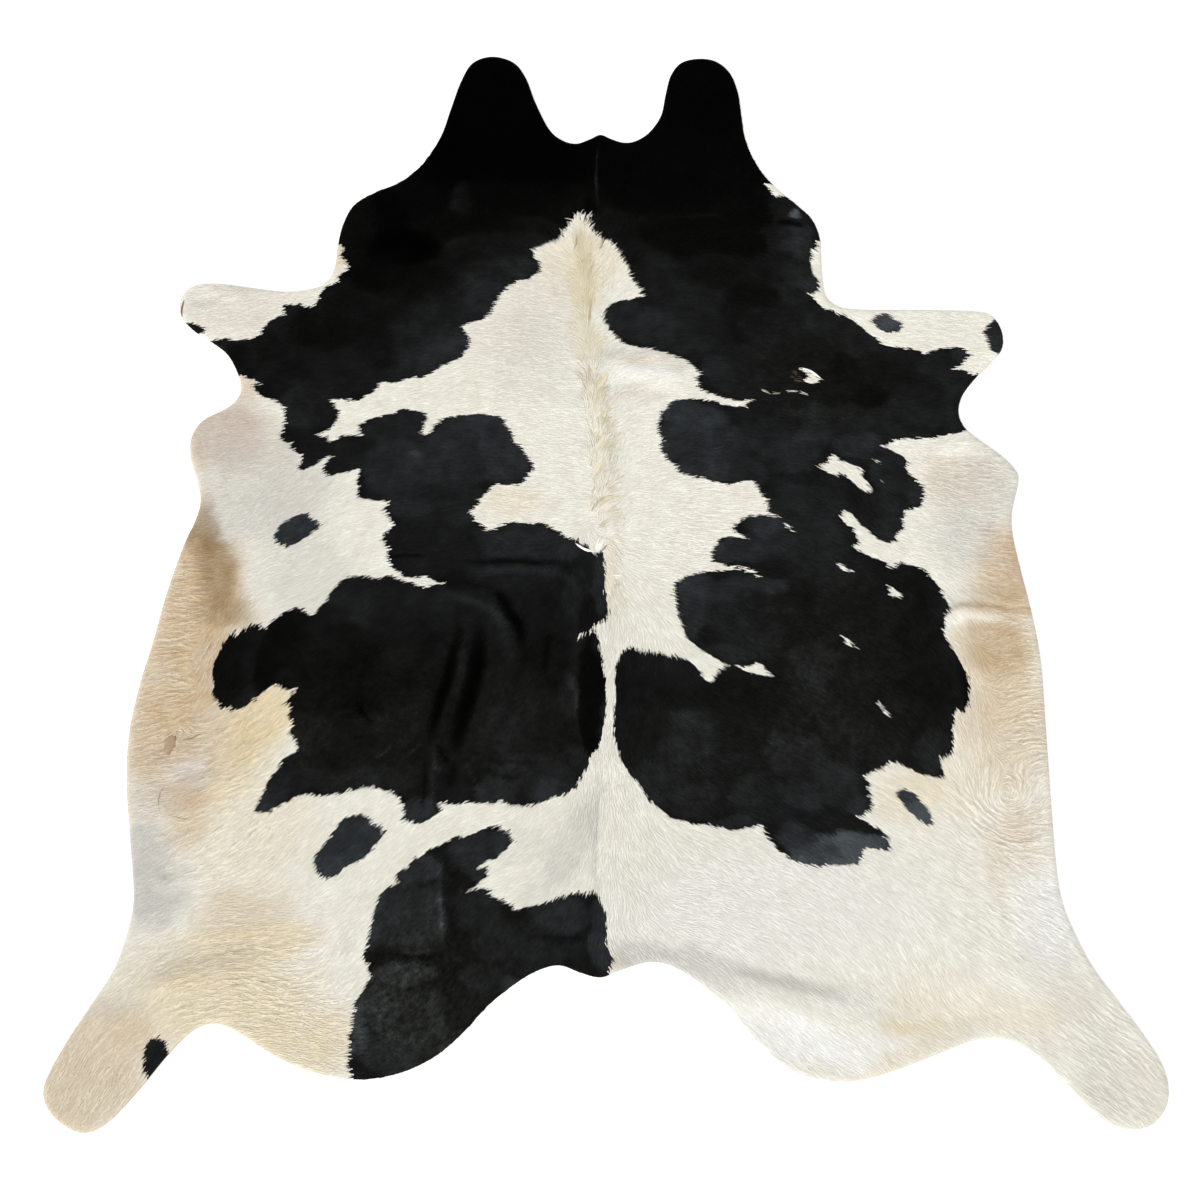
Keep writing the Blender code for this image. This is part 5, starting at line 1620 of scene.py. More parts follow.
@dataclass(frozen=True)
class HairFinish:
    """Short cattle hair: stained pale hair with painted light and shade on its clumps and waves, and black
    hair whose cool blue grey is partly painted sheen.

    Attributes:
        low: The pale hair where it is dull.
        high: The pale hair where it is clean.
        gap: The shade between two clumps of pale hair.
        tints: Colour of each tint: a stain, or in a few places painted light or shade.
        tones: Colours of the black hair, by brightness; the blue grey is partly painted sheen.
        warmth: What worn black hair is multiplied by.
        gloss: Specular level, the same all over.
    """

    low: tuple[float, ...] = hue(0.884, 0.870, 0.822)
    high: tuple[float, ...] = hue(0.954, 0.947, 0.912)
    gap: tuple[float, ...] = hue(0.58, 0.51, 0.40)
    tints: tuple[tuple[Tint, tuple[float, ...]], ...] = (
        (Tint.CREAM, hue(0.89, 0.82, 0.665)),
        (Tint.TAN, hue(0.815, 0.724, 0.594)),
        (Tint.ROSE, hue(0.80, 0.755, 0.705)),
        (Tint.BROWN, hue(0.60, 0.495, 0.352)),
        (Tint.GREY, hue(0.80, 0.79, 0.765)),
        (Tint.SNOW, hue(0.965, 0.965, 0.955)),
        (Tint.STRAW, hue(0.785, 0.74, 0.585)),
    )
    tones: tuple[tuple[float, tuple[float, ...]], ...] = (
        (0.0, hue(0.0, 0.0, 0.0)),
        (5.0, hue(0.05, 0.05, 0.047)),
        (10.0, hue(0.098, 0.10, 0.099)),
        (15.0, hue(0.145, 0.151, 0.155)),
        (20.0, hue(0.183, 0.20, 0.212)),
        (32.0, hue(0.305, 0.325, 0.34)),
    )
    warmth: tuple[float, ...] = (0.92, 0.87, 0.76, 1.0)
    gloss: float = 0.01

    def make(self, name: str) -> bpy.types.Material:
        """Makes the material, which reads the masks of the hair meshes.

        Args:
            name: The material's name.

        Returns:
            The material.
        """
        recipe = Recipe(name)
        strand, across, along = (recipe.mask(m) for m in ("strand", "across", "along"))
        cloud, grain = recipe.noise(26.0, 3.0, 0.6), recipe.noise(900.0, 2.0, 0.6)
        pale = recipe.mix(self.low, self.high, 0.5 + 1.3 * (cloud - 0.5) + 0.5 * (grain - 0.5))
        for tint, colour in self.tints:
            share = recipe.mask(tint.value) * (0.56 + 0.88 * cloud)
            pale = recipe.mix(pale, colour, share)
        # Painted shade between clumps and in the troughs of the waves, where the strand mask is below 0,
        # and painted light on them; painted shade at the roots, lighter towards the tips.
        pale = recipe.mix(pale, self.gap, 0.05 - 0.055 * strand)
        pale = recipe.scaled(pale, 1.0 + 0.045 * strand + 0.07 * (along - 0.3) + 0.10 * (grain - 0.5))
        worn, speckle = recipe.mask("worn"), recipe.noise(95.0, 3.0, 0.7)
        mottle = 0.84 + 0.32 * (cloud - 0.5) + (0.42 + 1.4 * worn) * (speckle - 0.5) + 0.24 * (grain - 0.5)
        palest = self.tones[-1][0]
        tone = recipe.mask("tone") * (mottle + 0.16) * (1.0 / palest)
        stops = [(place / palest, colour) for place, colour in self.tones]
        dark = recipe.node("ShaderNodeValToRGB", {"stops": stops}, {"Fac": tone}, "Color")
        dark = recipe.mix(dark, self.warmth, worn, "MULTIPLY")
        ragged = recipe.mask("black") + 9.0 * (recipe.noise(150.0, 3.0, 0.6) - 0.5)
        black = ragged.eased(-0.8, 0.8)
        hairs = (across * 25.0 + 7.0 * recipe.noise(40.0)).sine() * 0.5 + 0.5
        return recipe.finished({
            "Base Color": recipe.mix(pale, dark, black),
            "Roughness": 0.62 - 0.12 * black + 0.16 * (grain - 0.5),
            "Coat Weight": black * tone.eased(0.15, 0.8) * 0.10,
            "Coat Roughness": 0.5,
            "Normal": recipe.bump(hairs * 0.6 + grain * 0.4, 0.35, 0.3 * MM),
            "Specular IOR Level": self.gloss,
        })


@dataclass(frozen=True)
class SuedeFinish:
    """The skin's flesh side and its cut edge: pale napped leather.

    Attributes:
        worn: Its rubbed places.
        napped: Its plain colour.
        stained: Its few darker clouds.
    """

    worn: tuple[float, ...] = hue(0.85, 0.80, 0.71)
    napped: tuple[float, ...] = hue(0.78, 0.71, 0.60)
    stained: tuple[float, ...] = hue(0.66, 0.56, 0.43)

    def make(self, name: str) -> bpy.types.Material:
        """Makes the material.

        Args:
            name: The material's name.

        Returns:
            The material.
        """
        recipe = Recipe(name)
        cloud, nap = recipe.noise(5.0, 4.0, 0.6), recipe.noise(70.0, 3.0)
        fibre = recipe.noise(1400.0, 2.0, 0.7)
        colour = recipe.mix(self.napped, self.worn, (nap * 0.7 + fibre * 0.3).eased(0.35, 0.75))
        return recipe.finished({
            "Base Color": recipe.mix(colour, self.stained, cloud.eased(0.56, 0.80) * 0.6),
            "Roughness": 0.82 + 0.2 * (nap - 0.5),
            "Normal": recipe.bump(nap * 0.35 + fibre * 0.65, 0.5, 0.6 * MM),
            "Specular IOR Level": 0.25,
        })


@dataclass(frozen=True)
class BareSkinFinish:
    """Bare skin without hair, brown and finely wrinkled.

    Attributes:
        pale: Its lighter places.
        dark: Its darker places and its rim.
    """

    pale: tuple[float, ...] = hue(0.67, 0.58, 0.475)
    dark: tuple[float, ...] = hue(0.56, 0.46, 0.35)

    def make(self, name: str) -> bpy.types.Material:
        """Makes the material, darker where the piece's mask "along" is 1.

        Args:
            name: The material's name.

        Returns:
            The material.
        """
        recipe = Recipe(name)
        wrinkle = recipe.noise(300.0, 3.0, 0.6)
        rim = recipe.mask("along").eased(0.55, 1.0)
        return recipe.finished({
            "Base Color": recipe.mix(self.pale, self.dark, 0.7 * rim + 0.6 * (wrinkle - 0.3)),
            "Roughness": 0.5 + 0.2 * wrinkle,
            "Normal": recipe.bump(wrinkle, 0.5, 0.5 * MM),
            "Specular IOR Level": 0.3,
        })


@dataclass(frozen=True)
class FloorFinish:
    """A plain matt pale floor, lit a little from below as a white studio floor is.

    Attributes:
        colour: The floor's colour.
        lift: How much light it gives of its own, which softens the shadows on it.
    """

    colour: tuple[float, ...] = hue(0.965, 0.965, 0.965)
    lift: float = 0.22

    def make(self, name: str) -> bpy.types.Material:
        """Makes the material.

        Args:
            name: The material's name.

        Returns:
            The material.
        """
        return Recipe(name).finished({
            "Emission Color": self.colour,
            "Emission Strength": self.lift,
            "Base Color": self.colour,
            "Roughness": 0.9,
            "Specular IOR Level": 0.1,
        })


def lattice(low: Array, high: Array, pitch: float) -> Array:
    """Places in even rows, every second row shifted by half a pitch.

    Args:
        low: Lowest x and y.
        high: Highest x and y.
        pitch: Distance between two places of a row.

    Returns:
        The places, as rows of x and y.
    """
    rows = np.arange(low[1], high[1], pitch * math.sqrt(0.75))
    columns = np.arange(low[0], high[0], pitch)
    x, y = np.meshgrid(columns, rows)
    x[1::2] += pitch / 2
    return np.stack([x.ravel(), y.ravel()], 1)


def cover(rim: Array, inner: Array) -> Array:
    """Triangles over the inside of a rim, anticlockwise from above.

    Args:
        rim: The rim's places, in order.
        inner: Places within it.

    Returns:
        Rows of three numbers that count through the rim, then the inner places.
    """
    flat = [Vector(p) for p in np.vstack([rim, inner])]
    result = delaunay_2d_cdt(flat, [], [list(range(len(rim)))], 1, 1e-6)
    origin = np.array([numbers[0] for numbers in result[3]])
    faces = origin[np.array([face for face in result[2] if len(face) == 3])]
    places = np.vstack([rim, inner])
    a, b, c = (places[faces[:, k]] for k in (0, 1, 2))
    turn = (b[:, 0] - a[:, 0]) * (c[:, 1] - a[:, 1]) - (b[:, 1] - a[:, 1]) * (c[:, 0] - a[:, 0])
    faces[turn < 0] = faces[turn < 0][:, ::-1]
    return faces


@dataclass
class HideSheet:
    """The tanned skin with the body of its coat, as one closed sheet.

    Attributes:
        relief: The hide's shape.
        markings: The hide's colours.
        rings: Distances inside the edge at which the hair's slope is drawn.
        spacing: Distance between the points of the hair side.
        fold_spacing: The same on folds and creases.
        under_spacing: The same on the flesh side.
        crown_gap: From the last ring to the nearest place further in.
        under_margin: The same from the edge on the flesh side.
        under_coarser: How much wider the places on folds are spaced on the flesh side.
        least_rise: From which height on a place counts as on a fold.
        map_scale: Size of the hair side and the flesh side on the flat map, for a metre.
        map_margin: Room on the flat map round the hair side.
        map_corner: Where the flesh side starts on the flat map.
    """

    relief: Relief
    markings: Markings
    rings: tuple[float, ...] = (0.0, 1.2, 3.5, 7.0, 11.0)
    spacing: float = 10.0
    fold_spacing: float = 5.5
    under_spacing: float = 22.0
    crown_gap: float = 5.0
    under_margin: float = 14.0
    under_coarser: float = 2.2
    least_rise: float = 0.05
    map_scale: tuple[float, float] = (0.415, 0.058)
    map_margin: float = 8.0
    map_corner: Point = (0.87, 0.02)

    def _inner(self, margin: float, spacing: float, fold_spacing: float) -> Array:
        """Places inside the edge: closer together on folds than elsewhere.

        Args:
            margin: Least depth inside the edge.
            spacing: Distance between places.
            fold_spacing: The same on folds and creases.

        Returns:
            The places, as rows of x and y.
        """
        relief = self.relief
        found = []
        for pitch, on_folds in ((spacing, False), (fold_spacing, True)):
            places = lattice(relief.edge.min(0), relief.edge.max(0), pitch)
            places = places[relief.depths.at(places) > margin]
            most = np.max([np.abs(f.rise(places)) for f in relief.folds + relief.creases], axis=0)
            found.append(places[(most > self.least_rise) == on_folds])
        return np.vstack(found)

    def build(self, hair: bpy.types.Material, suede: bpy.types.Material) -> bpy.types.Object:
        """Makes the sheet.

        Args:
            hair: Material of the hair side.
            suede: Material of the flesh side and the cut edge.

        Returns:
            The piece.
        """
        relief = self.relief
        edge = relief.edge
        count = len(edge)
        into = left_of(unit(np.roll(edge, -1, 0) - np.roll(edge, 1, 0)))
        rings = [edge + into * ring for ring in self.rings]
        inner = self._inner(self.rings[-1] + self.crown_gap, self.spacing, self.fold_spacing)
        under = self._inner(
            self.under_margin, self.under_spacing, self.fold_spacing * self.under_coarser)

        top_places = np.vstack([*rings, inner])
        top_depth = np.concatenate([np.full(count, r) for r in self.rings] + [relief.depths.at(inner)])
        under_places = np.vstack([edge, under])
        points = np.vstack([
            relief.metres(top_places, relief.top(top_places, top_depth)),
            relief.metres(under_places, relief.lift(under_places)),
        ])

        top_count = len(top_places)
        faces, kinds = [], []
        here, there = np.arange(count), np.roll(np.arange(count), -1)
        bands = [(top_count, 0)] + [(k * count, (k + 1) * count) for k in range(len(rings) - 1)]
        for outer, middle in bands:
            quads = np.stack([outer + here, outer + there, middle + there, middle + here], 1)
            faces.append(np.vstack([quads[:, [0, 1, 2]], quads[:, [0, 2, 3]]]))
            kinds.append(np.full(2 * count, outer == top_count))
        crown = cover(rings[-1], inner) + (len(rings) - 1) * count
        faces.append(crown)
        kinds.append(np.zeros(len(crown), bool))
        sole = cover(edge, under)[:, ::-1] + top_count
        faces.append(sole)
        kinds.append(np.ones(len(sole), bool))
        triangles = np.vstack(faces)

        corner = edge.min(0)
        rim_out = np.vstack([top_places, edge - into * self.map_margin / 2, under])
        hair_map = (rim_out - corner + self.map_margin) * MM * self.map_scale[0]
        places = np.vstack([top_places, under_places])
        flesh_map = (places - corner) * MM * self.map_scale[1] + self.map_corner
        on_flesh = np.arange(len(triangles)) >= len(triangles) - len(sole)
        map_places = np.where(on_flesh[:, None, None], flesh_map[triangles], hair_map[triangles])

        masks = self.markings.tints(places) | {
            "black": self.markings.blackness(places),
            "tone": self.markings.tone(places),
            # The sheet shows only between the locks, so it is darkened with painted shade, as between
            # clumps.
            "strand": np.full(len(places), -0.6),
            "across": np.full(len(places), 0.5),
            "along": np.zeros(len(places)),
        }
        parts = MeshParts(points, triangles, map_places, masks, np.concatenate(kinds))
        return parts.build("hide_sheet", (hair, suede), smooth=True)


@dataclass
class HairCoat:
    """The short hair, as many small pointed locks that lie on the sheet.

    Attributes:
        relief: The hide's shape.
        markings: The hide's colours.
        nap: The lie of the hair.
        pitch: Distance between two roots.
        length: Shortest and longest lock.
        width: Thinnest and widest lock.
        rise: How far a lock's back stands over its sides, least and most.
        swell: How far a ridge of waved hair lifts the locks.
        overhang: How far a tip may pass the cut edge.
        neck_line: The y where the neck's piece ends and the back's pieces start.
        loin_line: The y where the back's pieces end and the rump's start.
        rump_half: Half the width of the middle piece of the rump.
        trims: How often a lock that ends too far out is trimmed, and to which share.
        mingling: How far single hairs of one colour stand in the other, by the
            ragged noise and by chance.
        speckling: How far single hairs carry a stain past its edge.
        ridges: How far the hair's waves lift it, on a grid.
    """

    relief: Relief
    markings: Markings
    nap: Nap
    pitch: float = 4.2
    length: Point = (11.0, 18.0)
    width: Point = (2.0, 3.4)
    rise: Point = (0.25, 0.8)
    swell: float = 0.45
    overhang: float = 1.2
    neck_line: float = 420.0
    loin_line: float = -240.0
    rump_half: float = 280.0
    trims: tuple[int, float] = (7, 0.74)
    mingling: Point = (1.8, 1.4)
    speckling: float = 2.6
    ridges: Field = field(init=False)

    def __post_init__(self) -> None:
        """Works out the ridges, strong in the rippled places and faint elsewhere."""
        self.ridges = self.nap.combed(7.6, 42)
        self.ridges.fill(self.ridges.values.ravel() * (0.16 + 2.7 * self.ripple(self.ridges.places)))

    def roots(self, rng: np.random.Generator) -> Array:
        """Where the locks grow.

        Args:
            rng: Source of their unevenness.

        Returns:
            Rows of x and y.
        """
        places = lattice(self.relief.edge.min(0), self.relief.edge.max(0), self.pitch)
        places = places + rng.uniform(-0.45, 0.45, places.shape) * self.pitch
        return places[self.relief.depths.at(places) > 0.9]

    def ripple(self, places: Array) -> Array:
        """How strongly the hair lies in waves.

        Args:
            places: Points as rows of x and y.

        Returns:
            A strength for each place, from 0 to 1.
        """
        rows = [(x, y, along, across, 0) for _, x, y, along, across, _ in RIPPLES]
        weights = blobs(places, rows, self.markings.wander(places))
        return np.max([w * row[-1] for w, row in zip(weights, RIPPLES)], axis=0)

    def build(self, hair: bpy.types.Material) -> list[bpy.types.Object]:
        """Makes the locks, as one piece for each region of the hide.

        Args:
            hair: Their material.

        Returns:
            The pieces.
        """
        rng = np.random.default_rng(7)
        roots = self.roots(rng)
        x, y = roots.T
        neck, rump = y > self.neck_line, y <= self.loin_line
        back = ~neck & ~rump
        regions = {
            "hair_neck": neck,
            "hair_left_back": back & (x < 0),
            "hair_right_back": back & (x >= 0),
            "hair_left_rump": rump & (x < -self.rump_half),
            "hair_middle_rump": rump & (np.abs(x) <= self.rump_half),
            "hair_right_rump": rump & (x > self.rump_half),
        }
        strand = 0.5 * self.nap.strands(roots + 6.0 * self.nap.way(roots), 2.5, 11.0, 41)
        return [
            self._region(name, roots[chosen], strand[chosen], hair, rng)
            for name, chosen in regions.items()
        ]

    def _region(
        self,
        name: str,
        roots: Array,
        strand: Array,
        hair: bpy.types.Material,
        rng: np.random.Generator,
    ) -> bpy.types.Object:
        """Makes the locks of one region.

        Args:
            name: The piece's name.
            roots: Where its locks grow.
            strand: Above 0 on a clump and below 0 between two, for each lock.
            hair: Their material.
            rng: Source of their unevenness.

        Returns:
            The piece.
        """
        count = len(roots)
        way = turned(self.nap.way(roots), rng.normal(0.0, 0.07, count))
        side = left_of(way)
        length = rng.uniform(*self.length, count)
        for _ in range(self.trims[0]):
            outside = self.relief.depths.at(roots + way * length[:, None]) < -self.overhang
            length = np.where(outside, length * self.trims[1], length)
        width = rng.uniform(*self.width, count)
        rise = rng.uniform(*self.rise, count) + 0.12 * strand
        sway = side * (width * rng.uniform(-0.12, 0.12, count))[:, None]
        places = np.stack([
            roots + side * (width / 2)[:, None],
            roots - side * (width / 2)[:, None],
            roots + way * (length * 0.4)[:, None] + sway,
            roots + way * length[:, None] + side * (rng.normal(0, 0.6, count))[:, None],
        ], 1).reshape(-1, 2)
        ridge = self.ridges.at(places)
        over = np.stack([np.full(count, -0.25), np.full(count, -0.25), rise, rise * 0.4], 1).ravel()
        swell = self.swell * (1.3 + ridge.clip(-1.3, 2.6))
        points = self.relief.metres(places, self.relief.tops.at(places) + swell + over)
        first = np.arange(count)[:, None] * 4
        faces = np.array([[1, 2, 0], [0, 2, 3], [2, 1, 3], [1, 0, 3]])
        triangles = (first[:, :, None] + faces[None]).reshape(-1, 3)

        extent = (roots.max(0) - roots.min(0)).max() + 2 * self.pitch
        cell = np.array([[-0.34, -0.30], [0.34, -0.30], [0.0, 0.0], [0.0, 0.34]]) * self.pitch
        spread = (roots[:, None] + cell[None] - roots.min(0) + self.pitch) / extent
        map_places = spread.reshape(-1, 2)[triangles]

        seen = roots + way * (length * 0.5)[:, None]
        ragged, by_chance = self.mingling
        blackness = self.markings.blackness(seen) + ragged * self.markings.ragged.at(seen)
        blackness += rng.normal(0, by_chance, count)
        # Painted light on the clumps of black hair and painted shade between them.
        tone = self.markings.tone(seen) * (1 + 0.10 * strand)
        strays = rng.normal(0, self.speckling, seen.shape)
        masks = self.markings.tints(places + np.repeat(strays, 4, axis=0))
        masks |= {
            "black": np.repeat(np.where(blackness > 0, ALL_BLACK, ALL_PALE), 4),
            "tone": np.repeat(tone, 4),
            # The ridges add painted light on the crests of the waves and painted shade in their troughs.
            "strand": (np.repeat(strand + rng.normal(0, 0.15, count), 4) + ridge).clip(-5.0, 2.6),
            "across": np.tile([0.0, 1.0, 0.5, 0.5], count),
            "along": np.tile([0.0, 0.0, 0.4, 1.0], count),
        }
        return MeshParts(points, triangles, map_places, masks).build(name, (hair,), smooth=False)


@dataclass
class LongLocks:
    """Curved locks with a three-sided section that taper to a point.

    Attributes:
        middles: For each lock and each ring along it, x and y. The last ring is the tip.
        sides: The direction to the lock's left there.
        widths: Its width there.
        heights: How far its sides lie over the coat there.
        shares: How far along the lock each ring is, from 0 to 1.
    """

    middles: Array
    sides: Array
    widths: Array
    heights: Array
    shares: Sequence[float]

    def build(
        self,
        name: str,
        relief: Relief,
        masks: dict[str, Array],
        hair: bpy.types.Material,
    ) -> bpy.types.Object:
        """Makes the locks as one piece.

        Args:
            name: The piece's name.
            relief: The hide's shape.
            masks: For each mask, a value for each lock.
            hair: The locks' material.

        Returns:
            The piece.
        """
        count, rings = self.widths.shape
        half = self.sides * (self.widths / 2)[..., None]
        corners = np.stack([self.middles - half, self.middles + half, self.middles], 2)
        levels = relief.tops.at(corners.reshape(-1, 2)).reshape(count, rings, 3)
        levels += self.heights[..., None]
        levels[..., 2] += 0.35 * self.widths
        places = np.concatenate([corners[:, :-1].reshape(count, -1, 2), self.middles[:, -1:]], 1)
        levels = np.concatenate([levels[:, :-1].reshape(count, -1), levels[:, -1, 2:]], 1)

        faces = [[0, 2, 1]]
        for low in range(0, (rings - 2) * 3, 3):
            for a, b in ((0, 1), (1, 2), (2, 0)):
                faces += [[low + a, low + b, low + 3 + b], [low + a, low + 3 + b, low + 3 + a]]
        last = (rings - 2) * 3
        faces += [[last + a, last + b, last + 3] for a, b in ((0, 1), (1, 2), (2, 0))]
        per_lock = places.shape[1]
        first = np.arange(count)[:, None, None] * per_lock
        triangles = (first + np.array(faces)[None]).reshape(-1, 3)

        across = np.append(np.tile([1.0, 0.0, 0.5], rings - 1), 0.5)
        along = np.append(np.repeat(self.shares[:-1], 3), 1.0)
        columns = math.ceil(math.sqrt(count))
        cell = np.empty((count, 2))
        cell[np.argsort(self.middles[:, 0, 1], kind="stable")] = np.stack(
            [np.arange(count) % columns, np.arange(count) // columns], 1)
        local = np.stack([across, along], 1) * 0.7 + 0.15
        map_places = ((cell[:, None] + local) / columns).reshape(-1, 2)[triangles]
        spread = {key: np.repeat(value, per_lock) for key, value in masks.items()}
        spread |= {"across": np.tile(across, count), "along": np.tile(along, count)}
        points = relief.metres(places.reshape(-1, 2), levels.ravel())
        return MeshParts(points, triangles, map_places, spread).build(name, (hair,), smooth=False)


@dataclass
class SpineHair:
    """The longer tufts along the spine.

    Attributes:
        relief: The hide's shape.
        markings: The hide's colours.
        count: Number of locks.
        width: Thinnest and widest lock at its root.
        rings: Where along a lock its cross-sections are, and their width and lift as
            shares of the lock's own.
        lift: How far a lock stands over the coat, least and most.
    """

    relief: Relief
    markings: Markings
    count: int = 3000
    width: Point = (1.6, 3.2)
    rings: tuple[tuple[float, float, float], ...] = (
        (0.0, 0.55, -0.3), (0.28, 1.0, 0.7), (0.66, 0.66, 1.0), (1.0, 0.0, 0.7))
    lift: Point = (0.8, 2.2)

    def build(self, hair: bpy.types.Material) -> bpy.types.Object:
        """Makes the tufts.

        Args:
            hair: Their material.

        Returns:
            The piece.
        """
        rng = np.random.default_rng(9)
        rows = np.array(SPINE[::-1])
        y = rng.uniform(rows[0, 0], rows[-1, 0], self.count)
        x, half, lie, length = (np.interp(y, rows[:, 0], rows[:, k]) for k in (1, 2, 3, 4))
        aside = rng.normal(0, 0.5, self.count).clip(-1.1, 1.1)
        roots = np.stack([x + aside * half, y], 1)
        clump = Noise(13.0, 51).at(roots)
        loose = np.interp(y, (290, 380), (1.0, 0.22))
        fan = np.interp(y, (300, 420), (14.0, 46.0))
        angle = np.radians(lie - fan * aside + loose * (clump * 30 + rng.normal(0, 7, self.count)))
        curl = np.radians(loose * (rng.normal(0, 16, self.count) + clump * 26) - 0.6 * fan * aside)
        length = length * rng.uniform(0.6, 1.1, self.count)
        width = rng.uniform(*self.width, self.count)
        lift = rng.uniform(*self.lift, self.count) * (0.45 + 0.55 * loose) * (1 + 0.5 * clump)

        shares, wide, high = np.array(self.rings).T
        bent = angle[:, None] + curl[:, None] * shares
        mean = angle[:, None] + curl[:, None] * shares / 2
        ways = np.stack([np.cos(mean), np.sin(mean)], 2)
        middles = roots[:, None] + ways * (length[:, None] * shares)[..., None]
        sides = np.stack([-np.sin(bent), np.cos(bent)], 2)
        locks = LongLocks(middles, sides, width[:, None] * wide, lift[:, None] * high - 0.3, shares)

        masks = self.markings.tints(roots)
        # Straw between the clumps is partly the hair's own colour and partly painted shade between tufts;
        # the strand paints light on the clumps and shade between them.
        between = (0.36 - 0.46 * clump + rng.normal(0, 0.12, self.count)).clip(0, 0.9)
        golden = np.interp(y, (-150, 20, 120, 400), (0.3, 0.75, 0.95, 0.95))
        masks["straw"] = masks["straw"] * 0.8 + loose * between * golden
        masks["strand"] = (0.25 + 0.32 * loose) * (1.1 * clump + rng.normal(0, 0.5, self.count))
        masks["black"] = np.full(self.count, ALL_PALE)
        masks["tone"] = np.full(self.count, PLAIN_TONE)
        return locks.build("hair_spine", self.relief, masks, hair)


@dataclass
class Wisps:
    """Hairs and wisps that lie their own way, as the table of wisps has them.

    Attributes:
        relief: The hide's shape.
        markings: The hide's colours.
        rings: Where along a hair its cross-sections are, and their width as a share.
        lift: How far a hair stands over the coat, least and most.
    """

    relief: Relief
    markings: Markings
    rings: tuple[Point, ...] = (
        (0.0, 0.4), (0.15, 0.9), (0.35, 1.0), (0.55, 0.95), (0.75, 0.75), (0.9, 0.45), (1.0, 0.0))
    lift: Point = (1.0, 2.2)

    def build(self, hair: bpy.types.Material) -> bpy.types.Object:
        """Makes the wisps.

        Args:
            hair: Their material.

        Returns:
            The piece.
        """
        rng = np.random.default_rng(11)
        rows = [row for row in WISPS for _ in range(row[4])]
        count = len(rows)
        shares, wide = np.array(self.rings).T
        middles, sides = np.empty((2, count, len(shares), 2))
        for number, (*_, spread, _, path) in enumerate(rows):
            line = smooth_line(path, 1.0, closed=False)
            ends = rng.uniform(0.0, 0.32), rng.uniform(0.72, 1.0)
            steps = np.interp(shares, (0.0, 1.0), ends) * (len(line) - 1)
            middle, way = (
                np.stack([np.interp(steps, np.arange(len(line)), values[:, k]) for k in (0, 1)], 1)
                for values in (line, np.gradient(line, axis=0)))
            sides[number] = left_of(unit(way))
            drift = rng.uniform(-1, 1) * (1 - 0.5 * shares) + rng.normal(0, 0.2) * shares
            drift *= spread / 2
            middles[number] = middle + sides[number] * drift[:, None]
        widths = np.array([row[6] for row in rows]) * rng.uniform(0.7, 1.25, count)
        heights = rng.uniform(*self.lift, count)[:, None] * (0.5 + 0.5 * np.sin(math.pi * shares))
        locks = LongLocks(middles, sides, widths[:, None] * wide, heights, shares)

        masks = {key: value * 0.5 for key, value in self.markings.tints(middles[:, 0]).items()}
        for tint in Tint:
            own = np.array([row[2] if row[1] is tint else 0.0 for row in rows])
            masks[tint.value] = np.maximum(masks[tint.value], own)
        masks["strand"] = np.array([row[3] for row in rows]) + rng.normal(0, 0.4, count)
        masks["black"] = np.full(count, ALL_PALE)
        masks["tone"] = np.full(count, PLAIN_TONE)
        return locks.build("hair_wisps", self.relief, masks, hair)


@dataclass
class Teat:
    """The dried stub of a teat: a low bare oval in the belly hair.

    Attributes:
        relief: The hide's shape.
        place: Its middle.
        half: Half its width and half its length.
        turn: Turn of its length to the left of y, in degrees.
        height: How far its middle stands over the hair.
        rings: How many rings of points it has.
        around: How many points a ring has.
    """

    relief: Relief
    place: Point = (-835.0, -462.0)
    half: Point = (13.0, 23.0)
    turn: float = -8.0
    height: float = 2.4
    rings: int = 7
    around: int = 40

    def build(self, skin: bpy.types.Material) -> bpy.types.Object:
        """Makes the stub.

        Args:
            skin: Its material.

        Returns:
            The piece.
        """
        share = np.repeat(np.arange(1, self.rings + 1) / self.rings, self.around)
        angle = np.tile(np.arange(self.around) * 2 * math.pi / self.around, self.rings)
        uneven = 1 + 0.07 * np.sin(3 * angle + 0.6) + 0.04 * np.sin(5 * angle + 2.0)
        x = self.half[0] * share * uneven * np.cos(angle)
        y = self.half[1] * share * uneven * np.sin(angle)
        flat = turned(np.stack([x, y], 1), math.radians(self.turn))
        places = np.vstack([[0.0, 0.0], flat]) + self.place
        far = np.concatenate([[0.0], share])
        dome = self.height * (1 - far ** 4) + 0.35 * Noise(4.0, 61).at(places) * (1 - far)
        points = self.relief.metres(places, self.relief.tops.at(places) + dome - 0.8 * (far == 1.0))

        here, there = np.arange(self.around), np.roll(np.arange(self.around), -1)
        faces = [np.stack([np.zeros(self.around, int), 1 + here, 1 + there], 1)]
        for ring in range(self.rings - 1):
            inner, outer = 1 + ring * self.around, 1 + (ring + 1) * self.around
            faces.append(np.stack([inner + here, outer + here, outer + there], 1))
            faces.append(np.stack([inner + here, outer + there, inner + there], 1))
        triangles = np.vstack(faces)
        map_places = (places - self.place) / (2.4 * max(self.half)) + 0.5
        parts = MeshParts(points, triangles, map_places[triangles], {"along": far})
        return parts.build("left_teat", (skin,), smooth=True)


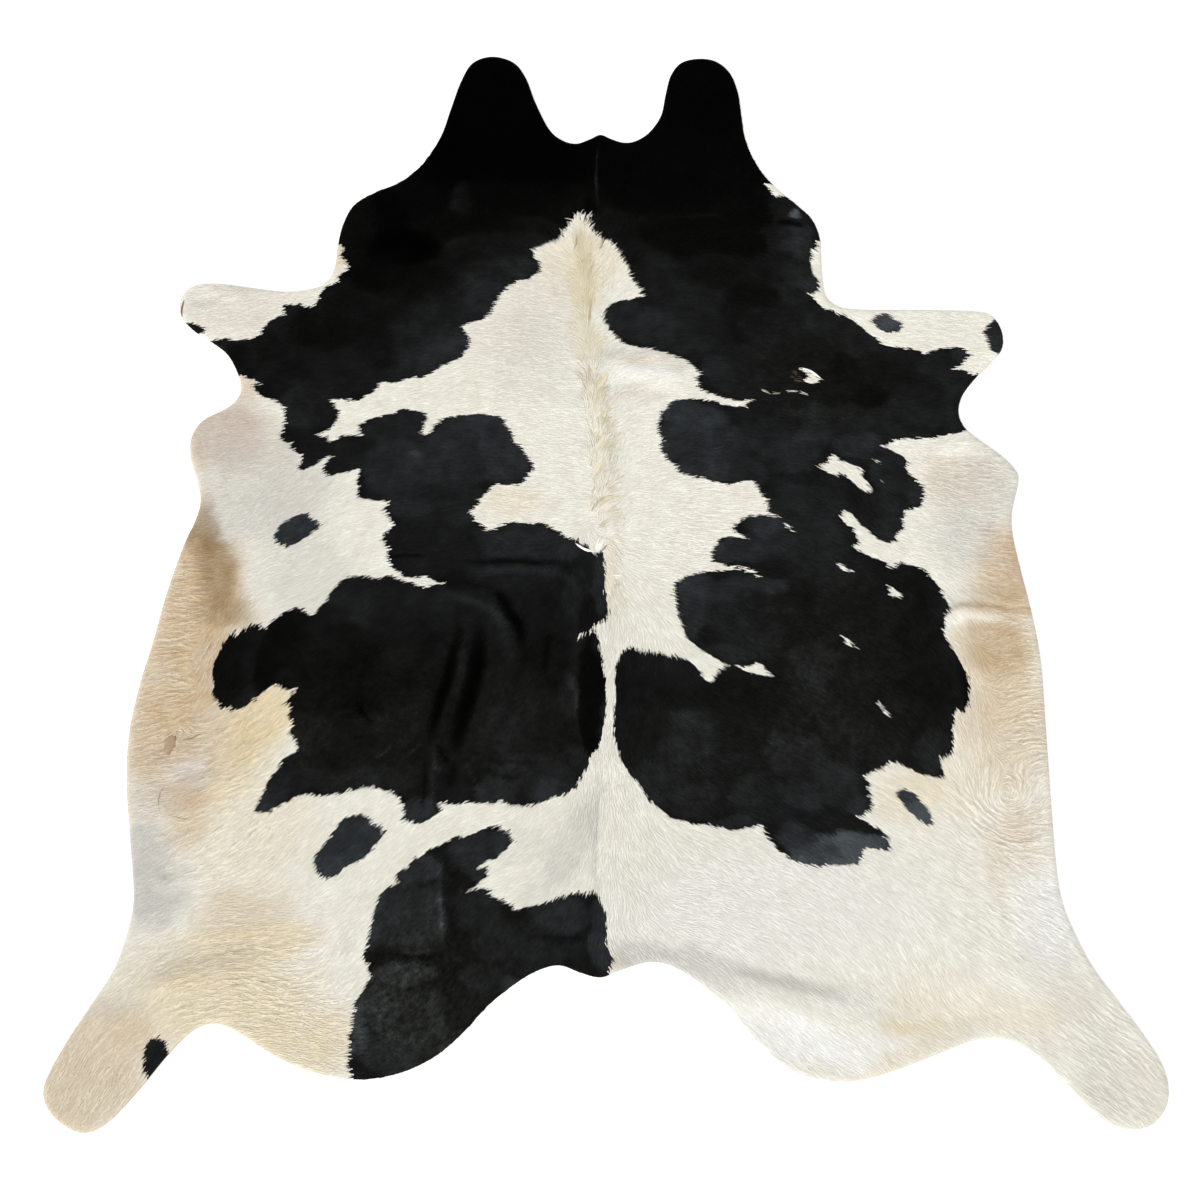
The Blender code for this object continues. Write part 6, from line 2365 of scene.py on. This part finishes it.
@dataclass(frozen=True)
class Studio:
    """The floor, the light and the camera.

    Attributes:
        floor_half: Half the floor's side, in metres.
        floor_level: Its height, a little under the rug, in metres.
        sky: Brightness of the even light from all round.
        key: Strength of the soft light from the front left.
        key_way: Its height over the horizon and its turn from the front, in degrees.
        key_spread: Its angle, in degrees, which softens its shadows.
        aim: Where the camera looks, in metres.
        distance: From there to the camera, in metres.
        elevation: The camera's height over the horizon, in degrees.
        lens: Focal length, in millimetres.
        sensor: Width of the sensor behind it, in millimetres.
    """

    floor_half: float = 9.0
    floor_level: float = -0.0005
    sky: float = 0.68
    key: float = 2.3
    key_way: Point = (38.0, -42.0)
    key_spread: float = 38.0
    aim: tuple[float, float, float] = (-0.0108, -0.1679, 0.0)
    distance: float = 2.6
    elevation: float = 72.0
    lens: float = 38.7
    sensor: float = 36.0

    def build(self) -> None:
        """Makes floor, light and camera."""
        scene = bpy.context.scene
        scene.view_settings.view_transform = "Standard"
        mesh = bpy.data.meshes.new("floor")
        half = self.floor_half
        corners = ((-half, -half), (half, -half), (half, half), (-half, half))
        mesh.from_pydata([(x, y, self.floor_level) for x, y in corners], [], [(0, 1, 2, 3)])
        mesh.materials.append(FloorFinish().make("pale floor"))
        placed("floor", mesh)

        world = bpy.data.worlds.new("studio")
        scene.world = world
        world.use_nodes = True
        background = world.node_tree.nodes["Background"]
        background.inputs["Color"].default_value = (1.0, 1.0, 1.0, 1.0)
        background.inputs["Strength"].default_value = self.sky

        lamp = bpy.data.lights.new("key", "SUN")
        lamp.energy = self.key
        lamp.angle = math.radians(self.key_spread)
        height, turn = (math.radians(angle) for angle in self.key_way)
        placed("key", lamp).rotation_euler = (math.pi / 2 - height, 0.0, turn)

        lens = bpy.data.cameras.new("camera")
        lens.lens = self.lens
        lens.sensor_width = self.sensor
        camera = placed("camera", lens)
        height = math.radians(self.elevation)
        camera.location = (
            self.aim[0],
            self.aim[1] - self.distance * math.cos(height),
            self.aim[2] + self.distance * math.sin(height),
        )
        camera.rotation_euler = (math.pi / 2 - height, 0.0, 0.0)
        scene.camera = camera


def main() -> None:
    """Builds the rug and its studio."""
    logging.basicConfig(level=logging.INFO, format="%(message)s")
    relief = Relief()
    markings = Markings(relief.box)
    nap = Nap(relief.box)
    hair = HairFinish().make("short hair")
    suede = SuedeFinish().make("flesh side")
    sheet = HideSheet(relief, markings).build(hair, suede)
    locks = HairCoat(relief, markings, nap).build(hair)
    tufts = SpineHair(relief, markings).build(hair)
    wisps = Wisps(relief, markings).build(hair)
    teat = Teat(relief).build(BareSkinFinish().make("bare skin"))
    area = relief.loop.area() * MM * MM
    hairs = [*locks, tufts, wisps, teat]
    LOG.info("its folds: %s", ", ".join(fold.name for fold in relief.folds))
    Studio().build()


if __name__ == "__main__":
    main()
